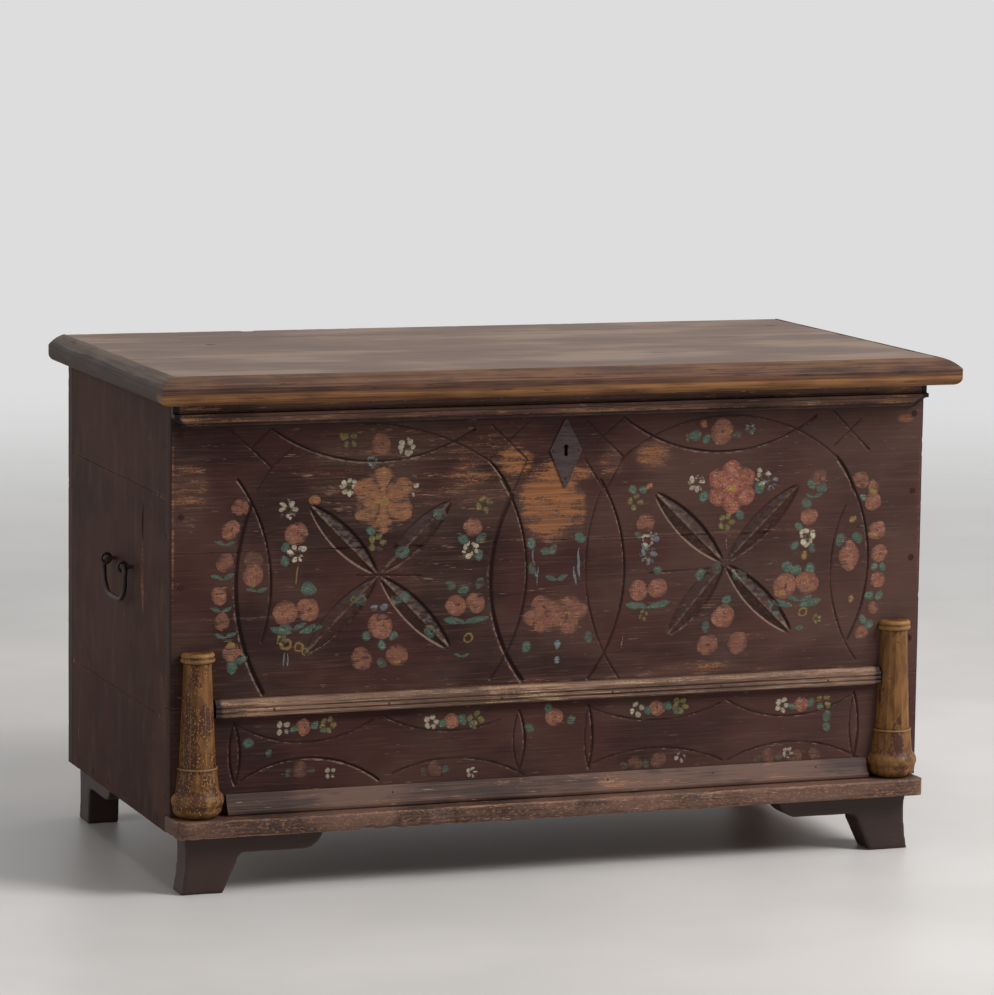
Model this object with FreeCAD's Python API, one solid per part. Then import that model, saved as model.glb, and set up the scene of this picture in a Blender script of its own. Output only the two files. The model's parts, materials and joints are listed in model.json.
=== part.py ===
"""Painted marriage chest on bracket feet, built board by board.

Millimetres. +Z is up, the front faces -Y and X runs along the width. The origin is on the
floor, under the middle of the closed chest's outline.
"""
import FreeCAD
import Part
import math
import os

V = FreeCAD.Vector
RIGHT = V(1, 0, 0)
BACK = V(0, 1, 0)
UP = V(0, 0, 1)

# Carcase
body_width = 1200.0
body_depth = 592.0
overall_height = 770.0
wall_thickness = 27.0
bottom_thickness = 27.0
front_seam_shares = (0.254, 0.618)
side_seam_shares = (0.257, 0.756)
back_seam_shares = (0.338, 0.672)
bottom_seam_shares = (0.331, 0.693)

# Base board, the front bottom board that stands out as a shelf under the columns
base_projection = 41.0
base_corner_radius = 18.0
base_edge_round = 6.0

# Feet
foot_height = 88.0
foot_thickness = 50.0
foot_inset = 14.0
front_foot_projection = 12.0
front_foot_width = 64.0
front_foot_lean = 22.0
front_wing_reach = 220.0
rear_foot_back_inset = 12.0
rear_foot_width = 58.0
rear_foot_lean = 6.0
rear_wing_reach = 192.0
foot_waist = 6.5
foot_shoulder = 5.0
foot_knee_height = 46.0
wing_thickness = 29.0
wing_end_run = 36.0

# Cornice under the lid
cornice_drop = 54.6
cornice_bead_height = 6.0
cornice_bead_projection = 7.0
cornice_quirk = 3.0
cornice_fillet_rise = 15.0
cornice_fillet_height = 6.0
cornice_projection = 18.0
cornice_fascia_projection = 10.0
cornice_fascia_gap = 1.6
cornice_end_cut = 17.0

# Reeded rail
rail_seam_cover = 14.2
rail_reed_radius = 3.4
rail_reed_count = 3
rail_back = 9.0
rail_fillet_height = 6.8
rail_end_gap = 1.0

# Sloping moulding on the base board
skirt_roll_height = 9.0
skirt_roll_projection = 15.0
skirt_step = 2.0
skirt_height = 31.0
skirt_end_gap = 3.5

# Half columns
column_inset = 41.0
column_foot_radius = 25.0
column_cup_radius = 37.5
column_bulge_radius = 40.0
column_neck_radius = 32.5
column_drum_radius = 30.0
column_shaft_radius = 28.0
column_top_radius = 21.5
column_cap_radius = 26.5
column_cup_height = 16.0
column_bulge_height = 36.0
column_neck_height = 44.0
column_drum_height = 72.0
column_shaft_height = 230.0
column_cap_height = 245.0
column_ring_height = 3.0

# Lid
lid_board_thickness = 24.0
lid_seat_gap = 0.4
lid_front_edge = 43.0
lid_side_edge = 6.0
lid_back_gap = 0.3
lid_seam_shares = (0.392, 0.84)
lid_moulding_height = 41.0
lid_bevel_run = 26.0
lid_bevel_drop = 16.0
lid_bevel_crown = 1.8
lid_nose_height = 13.0
lid_under_run = 13.0
lid_lip_gap = 1.5
batten_width = 44.0
batten_thickness = 22.0
batten_inset = 78.0
batten_front_gap = 34.0
batten_rear_gap = 20.0

# Pegs, flush with the boards they hold
corner_peg_radius = 5.0
corner_peg_length = 62.0
corner_peg_inset = 15.0
corner_peg_height_shares = (0.09, 0.185, 0.34, 0.54, 0.705, 0.895)
bottom_peg_radius = 4.0
bottom_peg_length = 60.0
bottom_peg_board_shares = (0.25, 0.75)
foot_peg_radius = 5.0
foot_peg_length = 48.0
foot_peg_width_shares = (0.45, 0.60)

# Nails
nail_head_radius = 4.5
nail_head_height = 1.6
nail_shank_radius = 1.7
nail_length = 20.0
pin_head_radius = 2.4
pin_head_height = 0.9
pin_shank_radius = 1.0
pin_length = 34.0
pin_sink = 0.5
trim_pin_count = 6
skirt_pin_height_share = 0.5
tack_head_radius = 1.7
tack_head_height = 0.8
tack_shank_radius = 0.7
tack_length = 9.0

# Keyhole plate
keyhole_offset = 12.0
keyhole_radius = 3.5
keyhole_slot_width = 5.0
keyhole_drop = 14.0
plate_half_width = 26.0
plate_cornice_gap = 4.0
plate_rise = 42.0
plate_drop = 61.0
plate_corner_drop = 5.0
plate_thickness = 1.6
plate_tip_width = 4.0
plate_tack_share = 0.78

# Lock inside the front board
lock_plate_half_width = 72.0
lock_plate_drop = 8.0
lock_plate_rise = 18.0
lock_plate_thickness = 2.0
lock_case_half_width = 62.0
lock_case_drop = 34.0
lock_case_rise = 22.0
lock_case_depth = 24.0
lock_case_wall = 2.0
lock_case_bore = 4.0
lock_nail_inset = 5.0
bolt_rise = 45.0
bolt_set_back = 13.0
bolt_thick = 4.5
bolt_tall = 9.0
bolt_length = 53.0
bolt_tip_gap = 2.0
bolt_travel = 16.0
bolt_play = 0.35
bolt_catch = 1.0
bolt_tab_width = 6.0
bolt_tab_drop = 9.0
bolt_tab_place = 37.0
guide_width = 5.0
guide_wall = 3.5
guide_left_place = 50.0
guide_middle_place = 14.0
spring_thick = 1.2
spring_lift = 13.0
spring_block = 5.0
spring_end_place = 26.0
spring_knee_place = 46.0
spring_knee_lift = 9.5
staple_width = 6.0
staple_depth = 14.0
staple_window = 7.0
staple_window_height = 14.0
staple_foot = 5.0
staple_slot_play = 3.0
staple_plate_half_width = 26.0
staple_plate_depth = 30.0
staple_plate_thickness = 3.0
staple_plate_gap = 1.5

# Strap hinges
hinge_inset = 190.0
strap_width = 40.0
strap_thickness = 3.0
body_strap_length = 170.0
lid_strap_length = 300.0
strap_tip_length = 26.0
knuckle_radius = 7.0
knuckle_gap = 0.5
knuckle_middle_length = 15.0
hinge_pin_radius = 3.4
hinge_pin_play = 0.3
hinge_pin_head_radius = 5.4
hinge_pin_head_height = 3.0
body_strap_nail_shares = (0.22, 0.48, 0.74)
lid_strap_nail_shares = (0.16, 0.40, 0.62, 0.84)

# Bail handles on the sides
handle_depth = 258.0
handle_height = 457.0
handle_eye_spacing = 94.0
handle_stand_off = 15.0
bail_rod_radius = 4.0
bail_half_width = 60.0
bail_drop = 52.0
bail_shoulder_radius = 9.0
bail_grip_radius = 36.0
bail_end_overrun = 11.0
bail_knob_radius = 5.4
bail_knob_length = 3.0
eye_rod_radius = 2.6
eye_play = 0.6
eye_shank_radius = 3.2
eye_tail_length = 17.0

# Working allowance
overrun = 10.0


# Places worked out from the sizes above
half_width = body_width / 2
inner_half_width = half_width - wall_thickness
base_top = foot_height + bottom_thickness
lid_underside = overall_height - lid_board_thickness
rim = lid_underside - lid_seat_gap
lid_edge_bottom = overall_height - lid_moulding_height
lid_half_length = half_width + lid_side_edge
hinge_axis_height = lid_underside + strap_thickness - knuckle_radius
hinge_axis_depth = body_depth + knuckle_radius
front_overhang = lid_front_edge + lid_bevel_run
overall_depth = front_overhang + hinge_axis_depth + knuckle_radius
front = front_overhang - overall_depth / 2
key_x = keyhole_offset
cornice_bottom = rim - cornice_drop
cornice_fillet_bottom = cornice_bottom + cornice_fillet_rise
cornice_fillet_top = cornice_fillet_bottom + cornice_fillet_height
keyhole_height = cornice_bottom - plate_cornice_gap - plate_rise
bolt_height = keyhole_height + bolt_rise
lock_case_bottom = keyhole_height - lock_case_drop
lock_case_top = bolt_height + lock_case_rise
lock_plate_bottom = lock_case_bottom - lock_plate_drop
lock_plate_top = lock_case_top + lock_plate_rise


def between(low, high, shares):
    """The two limits with the places at these shares of the way from one to the other."""
    return [low] + [low + (high - low) * share for share in shares] + [high]


front_levels = between(base_top, rim, front_seam_shares)
side_levels = between(foot_height, rim, side_seam_shares)
back_levels = between(foot_height, rim, back_seam_shares)
bottom_depths = between(wall_thickness, body_depth - wall_thickness, bottom_seam_shares)
lid_depths = between(-lid_front_edge, body_depth - lid_back_gap, lid_seam_shares)
rail_bottom = front_levels[1] - rail_seam_cover


def deep(depth):
    """Y of a place that lies this far behind the carcase's front face."""
    return front + depth


def block(x0, x1, y0, y1, z0, z1):
    return Part.makeBox(x1 - x0, y1 - y0, z1 - z0, V(x0, y0, z0))


def rod(radius, start, end):
    along = end - start
    return Part.makeCylinder(radius, along.Length, start, along)


def outline(steps, place):
    """Closed face. Two numbers draw a line to a point, four an arc through one to the next.

    place turns two numbers into a point in space.
    """
    edges = []
    first = place(*steps[0])
    last = first
    for step in steps[1:]:
        end = place(*step[-2:])
        if len(step) == 4:
            edges.append(Part.Arc(last, place(*step[:2]), end).toShape())
        else:
            edges.append(Part.makeLine(last, end))
        last = end
    if steps[-1][-2:] != steps[0]:
        edges.append(Part.makeLine(last, first))
    return Part.Face(Part.Wire(edges))


def mirrored(shape):
    return shape.mirror(V(0, 0, 0), RIGHT)


def cut_all(shape, tools):
    return shape.cut(tools) if tools else shape


def group(solids):
    return Part.makeCompound(solids)


def nail(place, inward, head_radius, head_height, shank_radius, length):
    """A nail whose head stands on the surface at place, driven along inward."""
    head = Part.makeCone(head_radius, head_radius / 2, head_height, place, inward * -1)
    shank = rod(shank_radius, place, place + inward * length)
    return head.fuse(shank).removeSplitter()


def strap_nail(place, inward):
    return nail(place, inward, nail_head_radius, nail_head_height, nail_shank_radius, nail_length)


def trim_pin(place, inward):
    sunk = place + inward * pin_sink
    return nail(sunk, inward, pin_head_radius, pin_head_height, pin_shank_radius, pin_length)


def tack(place, inward):
    return nail(place, inward, tack_head_radius, tack_head_height, tack_shank_radius, tack_length)


def spread(half_length, count):
    """Evenly spaced places between plus and minus half_length, ends a half step in."""
    step = 2 * half_length / count
    return [step * (index + 1 / 2) - half_length for index in range(count)]


def keyhole(y0, y1):
    """Round eye over a slot, cut from y0 to y1."""
    half_slot = keyhole_slot_width / 2
    eye = rod(keyhole_radius, V(key_x, y0, keyhole_height), V(key_x, y1, keyhole_height))
    foot = keyhole_height - keyhole_drop
    slot = block(key_x - half_slot, key_x + half_slot, y0, y1, foot, keyhole_height)
    return eye.fuse(slot)


def corner_pegs():
    """Pegs through the front and back boards into the ends of the side boards."""
    pegs = []
    for side in (-1, 1):
        x = side * (half_width - corner_peg_inset)
        for z in between(base_top, rim, corner_peg_height_shares)[1:-1]:
            pegs.append(rod(corner_peg_radius, V(x, deep(0), z), V(x, deep(corner_peg_length), z)))
            rear = deep(body_depth)
            pegs.append(rod(corner_peg_radius, V(x, rear, z), V(x, rear - corner_peg_length, z)))
    return pegs


def bottom_pegs():
    """Pegs through the side boards into the ends of the bottom boards."""
    pegs = []
    z = foot_height + bottom_thickness / 2
    for side in (-1, 1):
        for near, far in zip(bottom_depths, bottom_depths[1:]):
            for depth in between(near, far, bottom_peg_board_shares)[1:-1]:
                outer = V(side * half_width, deep(depth), z)
                inner = V(side * (half_width - bottom_peg_length), deep(depth), z)
                pegs.append(rod(bottom_peg_radius, outer, inner))
    return pegs


def foot_pegs():
    """Pegs down through the bottom boards into the thick part of each foot."""
    pegs = []
    front_share, rear_share = foot_peg_width_shares
    front_y = deep(foot_thickness / 2 - front_foot_projection)
    rear_y = deep(body_depth - rear_foot_back_inset - rear_foot_width * rear_share)
    for side in (-1, 1):
        front_x = side * (half_width - foot_inset - front_foot_width * front_share)
        rear_x = side * (half_width - foot_inset - foot_thickness * rear_share)
        for x, y in ((front_x, front_y), (rear_x, rear_y)):
            pegs.append(rod(foot_peg_radius, V(x, y, base_top), V(x, y, base_top - foot_peg_length)))
    return pegs


def handle_shanks():
    """Round holes through the side boards for the handle eyes."""
    holes = []
    for side in (-1, 1):
        for y in handle_eye_places():
            outer = V(side * (half_width + overrun), y, handle_height)
            inner = V(side * (inner_half_width - overrun), y, handle_height)
            holes.append(rod(eye_shank_radius, outer, inner))
    return holes


def handle_eye_places():
    middle = deep(handle_depth)
    return (middle - handle_eye_spacing / 2, middle + handle_eye_spacing / 2)


def walls(nails_in_front, nails_in_back):
    """Front, back and side boards, with the pegs, pins and nails cut out of them."""
    parts = {}
    corner = corner_pegs()
    places = ("lower", "middle", "upper")
    front_cuts = corner + nails_in_front + [keyhole(deep(-overrun), deep(wall_thickness + overrun))]
    for name, z0, z1 in zip(places, front_levels, front_levels[1:]):
        board = block(-half_width, half_width, deep(0), deep(wall_thickness), z0, z1)
        parts["front_board_" + name] = cut_all(board, front_cuts)
    side_cuts = corner + bottom_pegs() + handle_shanks()
    for name, z0, z1 in zip(places, side_levels, side_levels[1:]):
        y0 = deep(wall_thickness)
        y1 = deep(body_depth - wall_thickness)
        for hand, side in (("left", -1), ("right", 1)):
            near, far = sorted((side * half_width, side * inner_half_width))
            board = block(near, far, y0, y1, z0, z1)
            parts["side_board_" + hand + "_" + name] = cut_all(board, side_cuts)
    for name, z0, z1 in zip(places, back_levels, back_levels[1:]):
        y0 = deep(body_depth - wall_thickness)
        board = block(-half_width, half_width, y0, deep(body_depth), z0, z1)
        parts["back_board_" + name] = cut_all(board, corner + nails_in_back)
    return parts


def bottom_boards():
    """Three boards; the front one is as wide as the chest and stands out in front of it."""
    pegs = bottom_pegs() + foot_pegs()
    seams = [deep(depth) for depth in bottom_depths]
    shelf = block(-half_width, half_width, deep(-base_projection), seams[0], foot_height, base_top)
    upright = [edge for edge in shelf.Edges if is_front_corner(edge)]
    shelf = shelf.makeFillet(base_corner_radius, upright)
    rim_edges = [edge for edge in shelf.Edges if edge.CenterOfMass.y < deep(0) and is_level(edge)]
    shelf = shelf.makeFillet(base_edge_round, rim_edges)
    parts = {}
    inner = block(-inner_half_width, inner_half_width, seams[0], seams[1], foot_height, base_top)
    parts["base_board"] = cut_all(shelf.fuse(inner).removeSplitter(), pegs)
    for name, y0, y1 in (("middle", seams[1], seams[2]), ("rear", seams[2], seams[3])):
        board = block(-inner_half_width, inner_half_width, y0, y1, foot_height, base_top)
        parts["bottom_board_" + name] = cut_all(board, pegs)
    return parts


def is_front_corner(edge):
    box = edge.BoundBox
    return box.ZLength > bottom_thickness / 2 and box.YMax < deep(0)


def is_level(edge):
    return edge.BoundBox.ZLength < bottom_thickness / 4 and edge.BoundBox.YMin < deep(-base_edge_round)


def bracket_outline(width, lean, reach, place):
    """Side view of a bracket foot, from its outer corner, with its wing reaching inward."""
    knee = width + lean
    wing_bottom = foot_height - wing_thickness
    round_run = (wing_bottom - foot_knee_height)
    bend = 1 - math.sqrt(1 / 2)
    flat_end = reach - wing_end_run
    steps = [
        (0, 0),
        (width, 0),
        (knee, foot_knee_height),
        (knee + round_run * bend, wing_bottom - round_run * bend, knee + round_run, wing_bottom),
        (flat_end, wing_bottom),
        (reach - wing_end_run * bend, wing_bottom + wing_thickness * bend, reach, foot_height),
        (foot_shoulder, foot_height),
        (foot_waist, foot_height / 2, 0, 0),
    ]
    return outline(steps, place)


def feet():
    pegs = foot_pegs()
    parts = {}
    front_y = deep(-front_foot_projection)
    left_x = foot_inset - half_width
    front_face = bracket_outline(
        front_foot_width, front_foot_lean, front_wing_reach, lambda out, up: V(left_x + out, front_y, up))
    front_foot = front_face.extrude(BACK * foot_thickness)
    rear_y = deep(body_depth - rear_foot_back_inset)
    rear_face = bracket_outline(
        rear_foot_width, rear_foot_lean, rear_wing_reach, lambda out, up: V(left_x, rear_y - out, up))
    rear_foot = rear_face.extrude(RIGHT * foot_thickness)
    for name, foot in (("foot_front", front_foot), ("foot_rear", rear_foot)):
        parts[name + "_left"] = cut_all(foot, pegs)
        parts[name + "_right"] = cut_all(mirrored(foot), pegs)
    return parts


def cornice():
    """Bead, cove and fillet under a plain fascia; its lower ends are cut back at a slant."""
    fascia_top = lid_edge_bottom - cornice_fascia_gap
    bead_top = cornice_bottom + cornice_bead_height
    cove_bottom = bead_top + cornice_quirk / 2
    cove_out = cornice_projection - cornice_quirk
    cove_in = cornice_bead_projection - cornice_quirk / 2
    middle_out = (cove_out + cove_in) / 2 - cornice_quirk / 2
    middle_up = (cove_bottom + cornice_fillet_bottom) / 2 + cornice_quirk / 2
    bead_round = cornice_bead_height / 4
    bead_middle = (cornice_bottom + bead_top) / 2
    steps = [
        (0, cornice_bottom),
        (cornice_bead_projection - bead_round, cornice_bottom),
        (cornice_bead_projection, bead_middle, cornice_bead_projection - bead_round, bead_top),
        (cove_in, cove_bottom),
        (middle_out, middle_up, cove_out, cornice_fillet_bottom),
        (cornice_projection, cornice_fillet_bottom),
        (cornice_projection, cornice_fillet_top),
        (cornice_fascia_projection, cornice_fillet_top),
        (cornice_fascia_projection, fascia_top),
        (0, fascia_top),
    ]
    face = outline(steps, lambda out, up: V(-half_width, deep(-out), up))
    strip = face.extrude(RIGHT * body_width)
    slant = [(0, cornice_bottom), (cornice_end_cut, cornice_bottom), (0, cornice_fillet_bottom)]
    far = deep(-cornice_projection - overrun)
    wedge = outline(slant, lambda out, up: V(out - half_width, far, up))
    wedge = wedge.extrude(BACK * (cornice_projection + overrun))
    return strip.cut(wedge).cut(mirrored(wedge))


def rail_half_length():
    """The reeded rail stops just short of the column shafts."""
    rail_middle = rail_bottom + rail_reed_radius * rail_reed_count
    share = (rail_middle - base_top - column_drum_height) / (column_shaft_height - column_drum_height)
    shaft = column_shaft_radius + (column_top_radius - column_shaft_radius) * share
    return half_width - column_inset - shaft - rail_end_gap


def reeded_rail():
    steps = [(0, rail_bottom), (rail_back, rail_bottom)]
    for index in range(rail_reed_count):
        low = rail_bottom + 2 * rail_reed_radius * index
        crest = rail_back + rail_reed_radius
        steps.append((crest, low + rail_reed_radius, rail_back, low + 2 * rail_reed_radius))
    top = rail_bottom + 2 * rail_reed_radius * rail_reed_count
    steps.append((rail_back / 2, top + rail_fillet_height))
    steps.append((0, top + rail_fillet_height))
    half = rail_half_length()
    face = outline(steps, lambda out, up: V(-half, deep(-out), up))
    return face.extrude(RIGHT * 2 * half)


def skirt_half_length():
    return half_width - column_inset - column_bulge_radius - skirt_end_gap


def skirt_slope():
    """Foot and head of the long slope above the roll: how far out and how high."""
    foot = (skirt_roll_projection - skirt_step - skirt_roll_height / 4, base_top + skirt_roll_height)
    return foot, (skirt_step, base_top + skirt_height)


def skirt_moulding():
    """Roll on the base board with a long slope above it."""
    foot, head = skirt_slope()
    roll_out = skirt_roll_projection - skirt_step
    steps = [
        (0, base_top),
        (roll_out, base_top),
        (skirt_roll_projection, base_top + skirt_roll_height / 2, roll_out, foot[1]),
        foot,
        head,
        (0, head[1]),
    ]
    half = skirt_half_length()
    face = outline(steps, lambda out, up: V(-half, deep(-out), up))
    return face.extrude(RIGHT * 2 * half)


def half_column():
    """Turned half column: cup and bulge, drum, tapered shaft and a double-bead cap."""
    axis_x = column_inset - half_width
    bulge_low = column_cup_height + column_ring_height
    ring = column_ring_height / 2
    shaft_foot = column_drum_height + column_ring_height
    cap_half = (column_cap_height - column_shaft_height) / 2
    bulge_mid = (bulge_low + column_bulge_height) / 2
    cup_mid_radius = column_foot_radius + (column_cup_radius - column_foot_radius) * math.sqrt(1 / 2)
    cup_mid_height = column_cup_height * (1 - math.sqrt(1 / 2))
    cap_middle = column_shaft_height + cap_half
    steps = [
        (0, 0),
        (column_foot_radius, 0),
        (cup_mid_radius, cup_mid_height, column_cup_radius, column_cup_height),
        (column_cup_radius + ring / 2, bulge_low),
        (column_bulge_radius, bulge_mid, column_cup_radius - ring, column_bulge_height),
        (column_neck_radius + ring, column_bulge_height + ring),
        (column_neck_radius, column_neck_height),
        (column_drum_radius, column_drum_height),
        (column_drum_radius + ring, column_drum_height + ring, column_shaft_radius + ring, shaft_foot),
        (column_shaft_radius, shaft_foot),
        (column_top_radius, column_shaft_height),
        (column_cap_radius, column_shaft_height + cap_half / 2, column_cap_radius - ring, cap_middle),
        (column_cap_radius - ring / 2, cap_middle + cap_half / 2, column_top_radius, column_cap_height),
        (0, column_cap_height),
    ]
    face = outline(steps, lambda out, up: V(axis_x - out, deep(0), base_top + up))
    return face.revolve(V(axis_x, deep(0), 0), UP, 180)


def trim_pins():
    """Small pins through the cornice fascia, the rail's middle reed and the skirt's slope."""
    foot, head = skirt_slope()
    slope_out, slope_up = [low + (high - low) * skirt_pin_height_share for low, high in zip(foot, head)]
    rows = (
        (cornice_fascia_projection, (cornice_fillet_top + lid_edge_bottom) / 2, half_width),
        (rail_back + rail_reed_radius, rail_bottom + rail_reed_radius * rail_reed_count, rail_half_length()),
        (slope_out, slope_up, skirt_half_length()),
    )
    pins = []
    for out, z, half in rows:
        for x in spread(half, trim_pin_count):
            pins.append(trim_pin(V(x, deep(-out), z), BACK))
    return pins


def keyhole_plate():
    """Diamond iron plate with slightly blunted tips, and the tacks that hold it."""
    middle = keyhole_height - plate_corner_drop
    top = keyhole_height + plate_rise
    bottom = keyhole_height - plate_drop
    tip = plate_tip_width / 2
    steps = [
        (-tip, bottom), (tip, bottom), (plate_half_width, middle), (tip, top),
        (-tip, top), (-plate_half_width, middle),
    ]
    face = outline(steps, lambda out, up: V(key_x + out, deep(-plate_thickness), up))
    plate = face.extrude(BACK * plate_thickness)
    surface = deep(-plate_thickness)
    upper = middle + (top - middle) * plate_tack_share
    lower = middle - (middle - bottom) * plate_tack_share
    side = plate_half_width * plate_tack_share
    spots = ((key_x, upper), (key_x, lower), (key_x - side, middle), (key_x + side, middle))
    tacks = [tack(V(x, surface, z), BACK) for x, z in spots]
    return cut_all(plate, tacks + [keyhole(surface - overrun, deep(overrun))]), tacks


def bolt_section(grow):
    """Low and high corners of the bolt's Y and Z section, let out by grow."""
    middle = deep(wall_thickness + lock_plate_thickness + bolt_set_back)
    half_thick = bolt_thick / 2 + grow
    half_tall = bolt_tall / 2 + grow
    return middle - half_thick, middle + half_thick, bolt_height - half_tall, bolt_height + half_tall


def staple_faces():
    """X, Y and Z limits of the staple's bar that hangs from the lid."""
    y0, y1 = bolt_section(0)[:2]
    middle = (y0 + y1) / 2
    foot = bolt_height - staple_window_height / 2 - staple_foot
    return (key_x - staple_width / 2, key_x + staple_width / 2,
            middle - staple_depth / 2, middle + staple_depth / 2,
            foot, lid_underside - staple_plate_thickness)


def lock_nail_places():
    top = lock_plate_top - lock_nail_inset * 2
    low = lock_plate_bottom + lock_nail_inset
    out = lock_plate_half_width - lock_nail_inset
    return [(key_x + side * out, z) for side in (-1, 1) for z in (low, top)]


def lock():
    """Iron back plate, open-backed case, guides, spring and the bolt that slides along X."""
    parts = {}
    inner_face = deep(wall_thickness)
    plate_face = inner_face + lock_plate_thickness
    nails = [strap_nail(V(x, plate_face, z), BACK * -1) for x, z in lock_nail_places()]
    plate = block(key_x - lock_plate_half_width, key_x + lock_plate_half_width,
                  inner_face, plate_face, lock_plate_bottom, lock_plate_top)
    parts["lock_plate"] = cut_all(plate, nails + [keyhole(inner_face - overrun, plate_face + overrun)])
    parts["lock_nails"] = group(nails)
    case_back = plate_face + lock_case_depth
    case = block(key_x - lock_case_half_width, key_x + lock_case_half_width,
                 plate_face, case_back, lock_case_bottom, lock_case_top)
    hollow_half = lock_case_half_width - lock_case_wall
    hollow = block(key_x - hollow_half, key_x + hollow_half, plate_face, case_back - lock_case_wall,
                   lock_case_bottom + lock_case_wall, lock_case_top - lock_case_wall)
    slot_half = staple_width / 2 + staple_slot_play
    slot_back = staple_faces()[3] + staple_slot_play / 2
    slot = block(key_x - slot_half, key_x + slot_half, plate_face, slot_back,
                 lock_case_top - lock_case_wall, lock_case_top)
    bore = rod(lock_case_bore, V(key_x, plate_face, keyhole_height), V(key_x, case_back, keyhole_height))
    parts["lock_case"] = case.cut(hollow).cut(slot).cut(bore)
    parts["bolt_guides"] = group(bolt_guides(plate_face))
    parts["lock_spring"] = lock_spring(plate_face)
    parts["lock_bolt"] = lock_bolt()
    return parts, nails


def bolt_guides(plate_face):
    y0, y1, z0, z1 = bolt_section(bolt_play)
    guides = []
    thrown_tip = bolt_travel - staple_width / 2 - bolt_tip_gap
    guide_right_place = thrown_tip - bolt_catch + guide_width / 2
    for place in (-guide_left_place, -guide_middle_place, guide_right_place):
        low = key_x + place - guide_width / 2
        lug = block(low, low + guide_width, plate_face, y1 + guide_wall, z0 - guide_wall, z1 + guide_wall)
        guides.append(lug.cut(block(low, low + guide_width, y0, y1, z0, z1)))
    return guides


def lock_bolt():
    """Flat bar with a tab below it for the key; unlocked, its tip stands beside the staple."""
    y0, y1, z0, z1 = bolt_section(0)
    tip = staple_faces()[0] - bolt_tip_gap
    bar = block(tip - bolt_length, tip, y0, y1, z0, z1)
    tab_right = key_x - bolt_tab_place
    tab = block(tab_right - bolt_tab_width, tab_right, y0, y1, z0 - bolt_tab_drop, z0)
    return bar.fuse(tab).removeSplitter()


def lock_spring(plate_face):
    """Leaf spring from a block on the plate down to the bolt's upper edge."""
    y0, y1, z1 = [bolt_section(0)[index] for index in (0, 1, 3)]
    block_left = key_x - lock_case_half_width + lock_case_wall
    block_right = block_left + spring_block
    post_low = z1 + spring_lift - spring_block
    post = block(block_left, block_right, plate_face, y1, post_low, z1 + spring_lift)
    knee = (key_x - spring_knee_place, z1 + spring_knee_lift - spring_thick)
    end = (key_x - spring_end_place, z1 + bolt_play)
    steps = [
        (block_right, post_low + spring_thick),
        knee,
        end,
        (end[0], end[1] + spring_thick),
        (knee[0], knee[1] + spring_thick),
        (block_right, post_low + 2 * spring_thick),
    ]
    leaf = outline(steps, lambda out, up: V(out, y0, up)).extrude(BACK * (y1 - y0))
    return post.fuse(leaf).removeSplitter()


def lid_staple():
    """Plate under the lid with a windowed bar that drops into the lock case."""
    x0, x1, y0, y1, z0, z1 = staple_faces()
    bar = block(x0, x1, y0, y1, z0, z1)
    middle = (y0 + y1) / 2
    window = block(x0, x1, middle - staple_window / 2, middle + staple_window / 2,
                   bolt_height - staple_window_height / 2, bolt_height + staple_window_height / 2)
    plate_front = deep(wall_thickness + staple_plate_gap)
    plate_back = plate_front + staple_plate_depth
    plate = block(key_x - staple_plate_half_width, key_x + staple_plate_half_width,
                  plate_front, plate_back, z1, lid_underside)
    y = (plate_front + plate_back) / 2
    out = staple_plate_half_width - nail_head_radius * 3 / 2
    nails = [strap_nail(V(key_x + side * out, y, z1), UP) for side in (-1, 1)]
    return cut_all(bar.cut(window).fuse(plate).removeSplitter(), nails), nails


def strap_outline(width, start, end, tip, place):
    """Strap seen flat: straight sides from start, then an arched point at end."""
    half = width / 2
    back = end - math.copysign(tip, end - start)
    shoulder = (back + end) / 2
    bulge = half * math.sqrt(1 / 2)
    steps = [
        (-half, start), (half, start), (half, back),
        (bulge, shoulder, 0, end), (-bulge, shoulder, -half, back),
    ]
    return outline(steps, place)


def knuckle(x0, x1):
    """Rolled iron eye around the hinge axis from x0 to x1."""
    start = V(x0, deep(hinge_axis_depth), hinge_axis_height)
    end = V(x1, deep(hinge_axis_depth), hinge_axis_height)
    return rod(knuckle_radius, start, end).cut(rod(hinge_pin_radius + hinge_pin_play, start, end))


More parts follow.
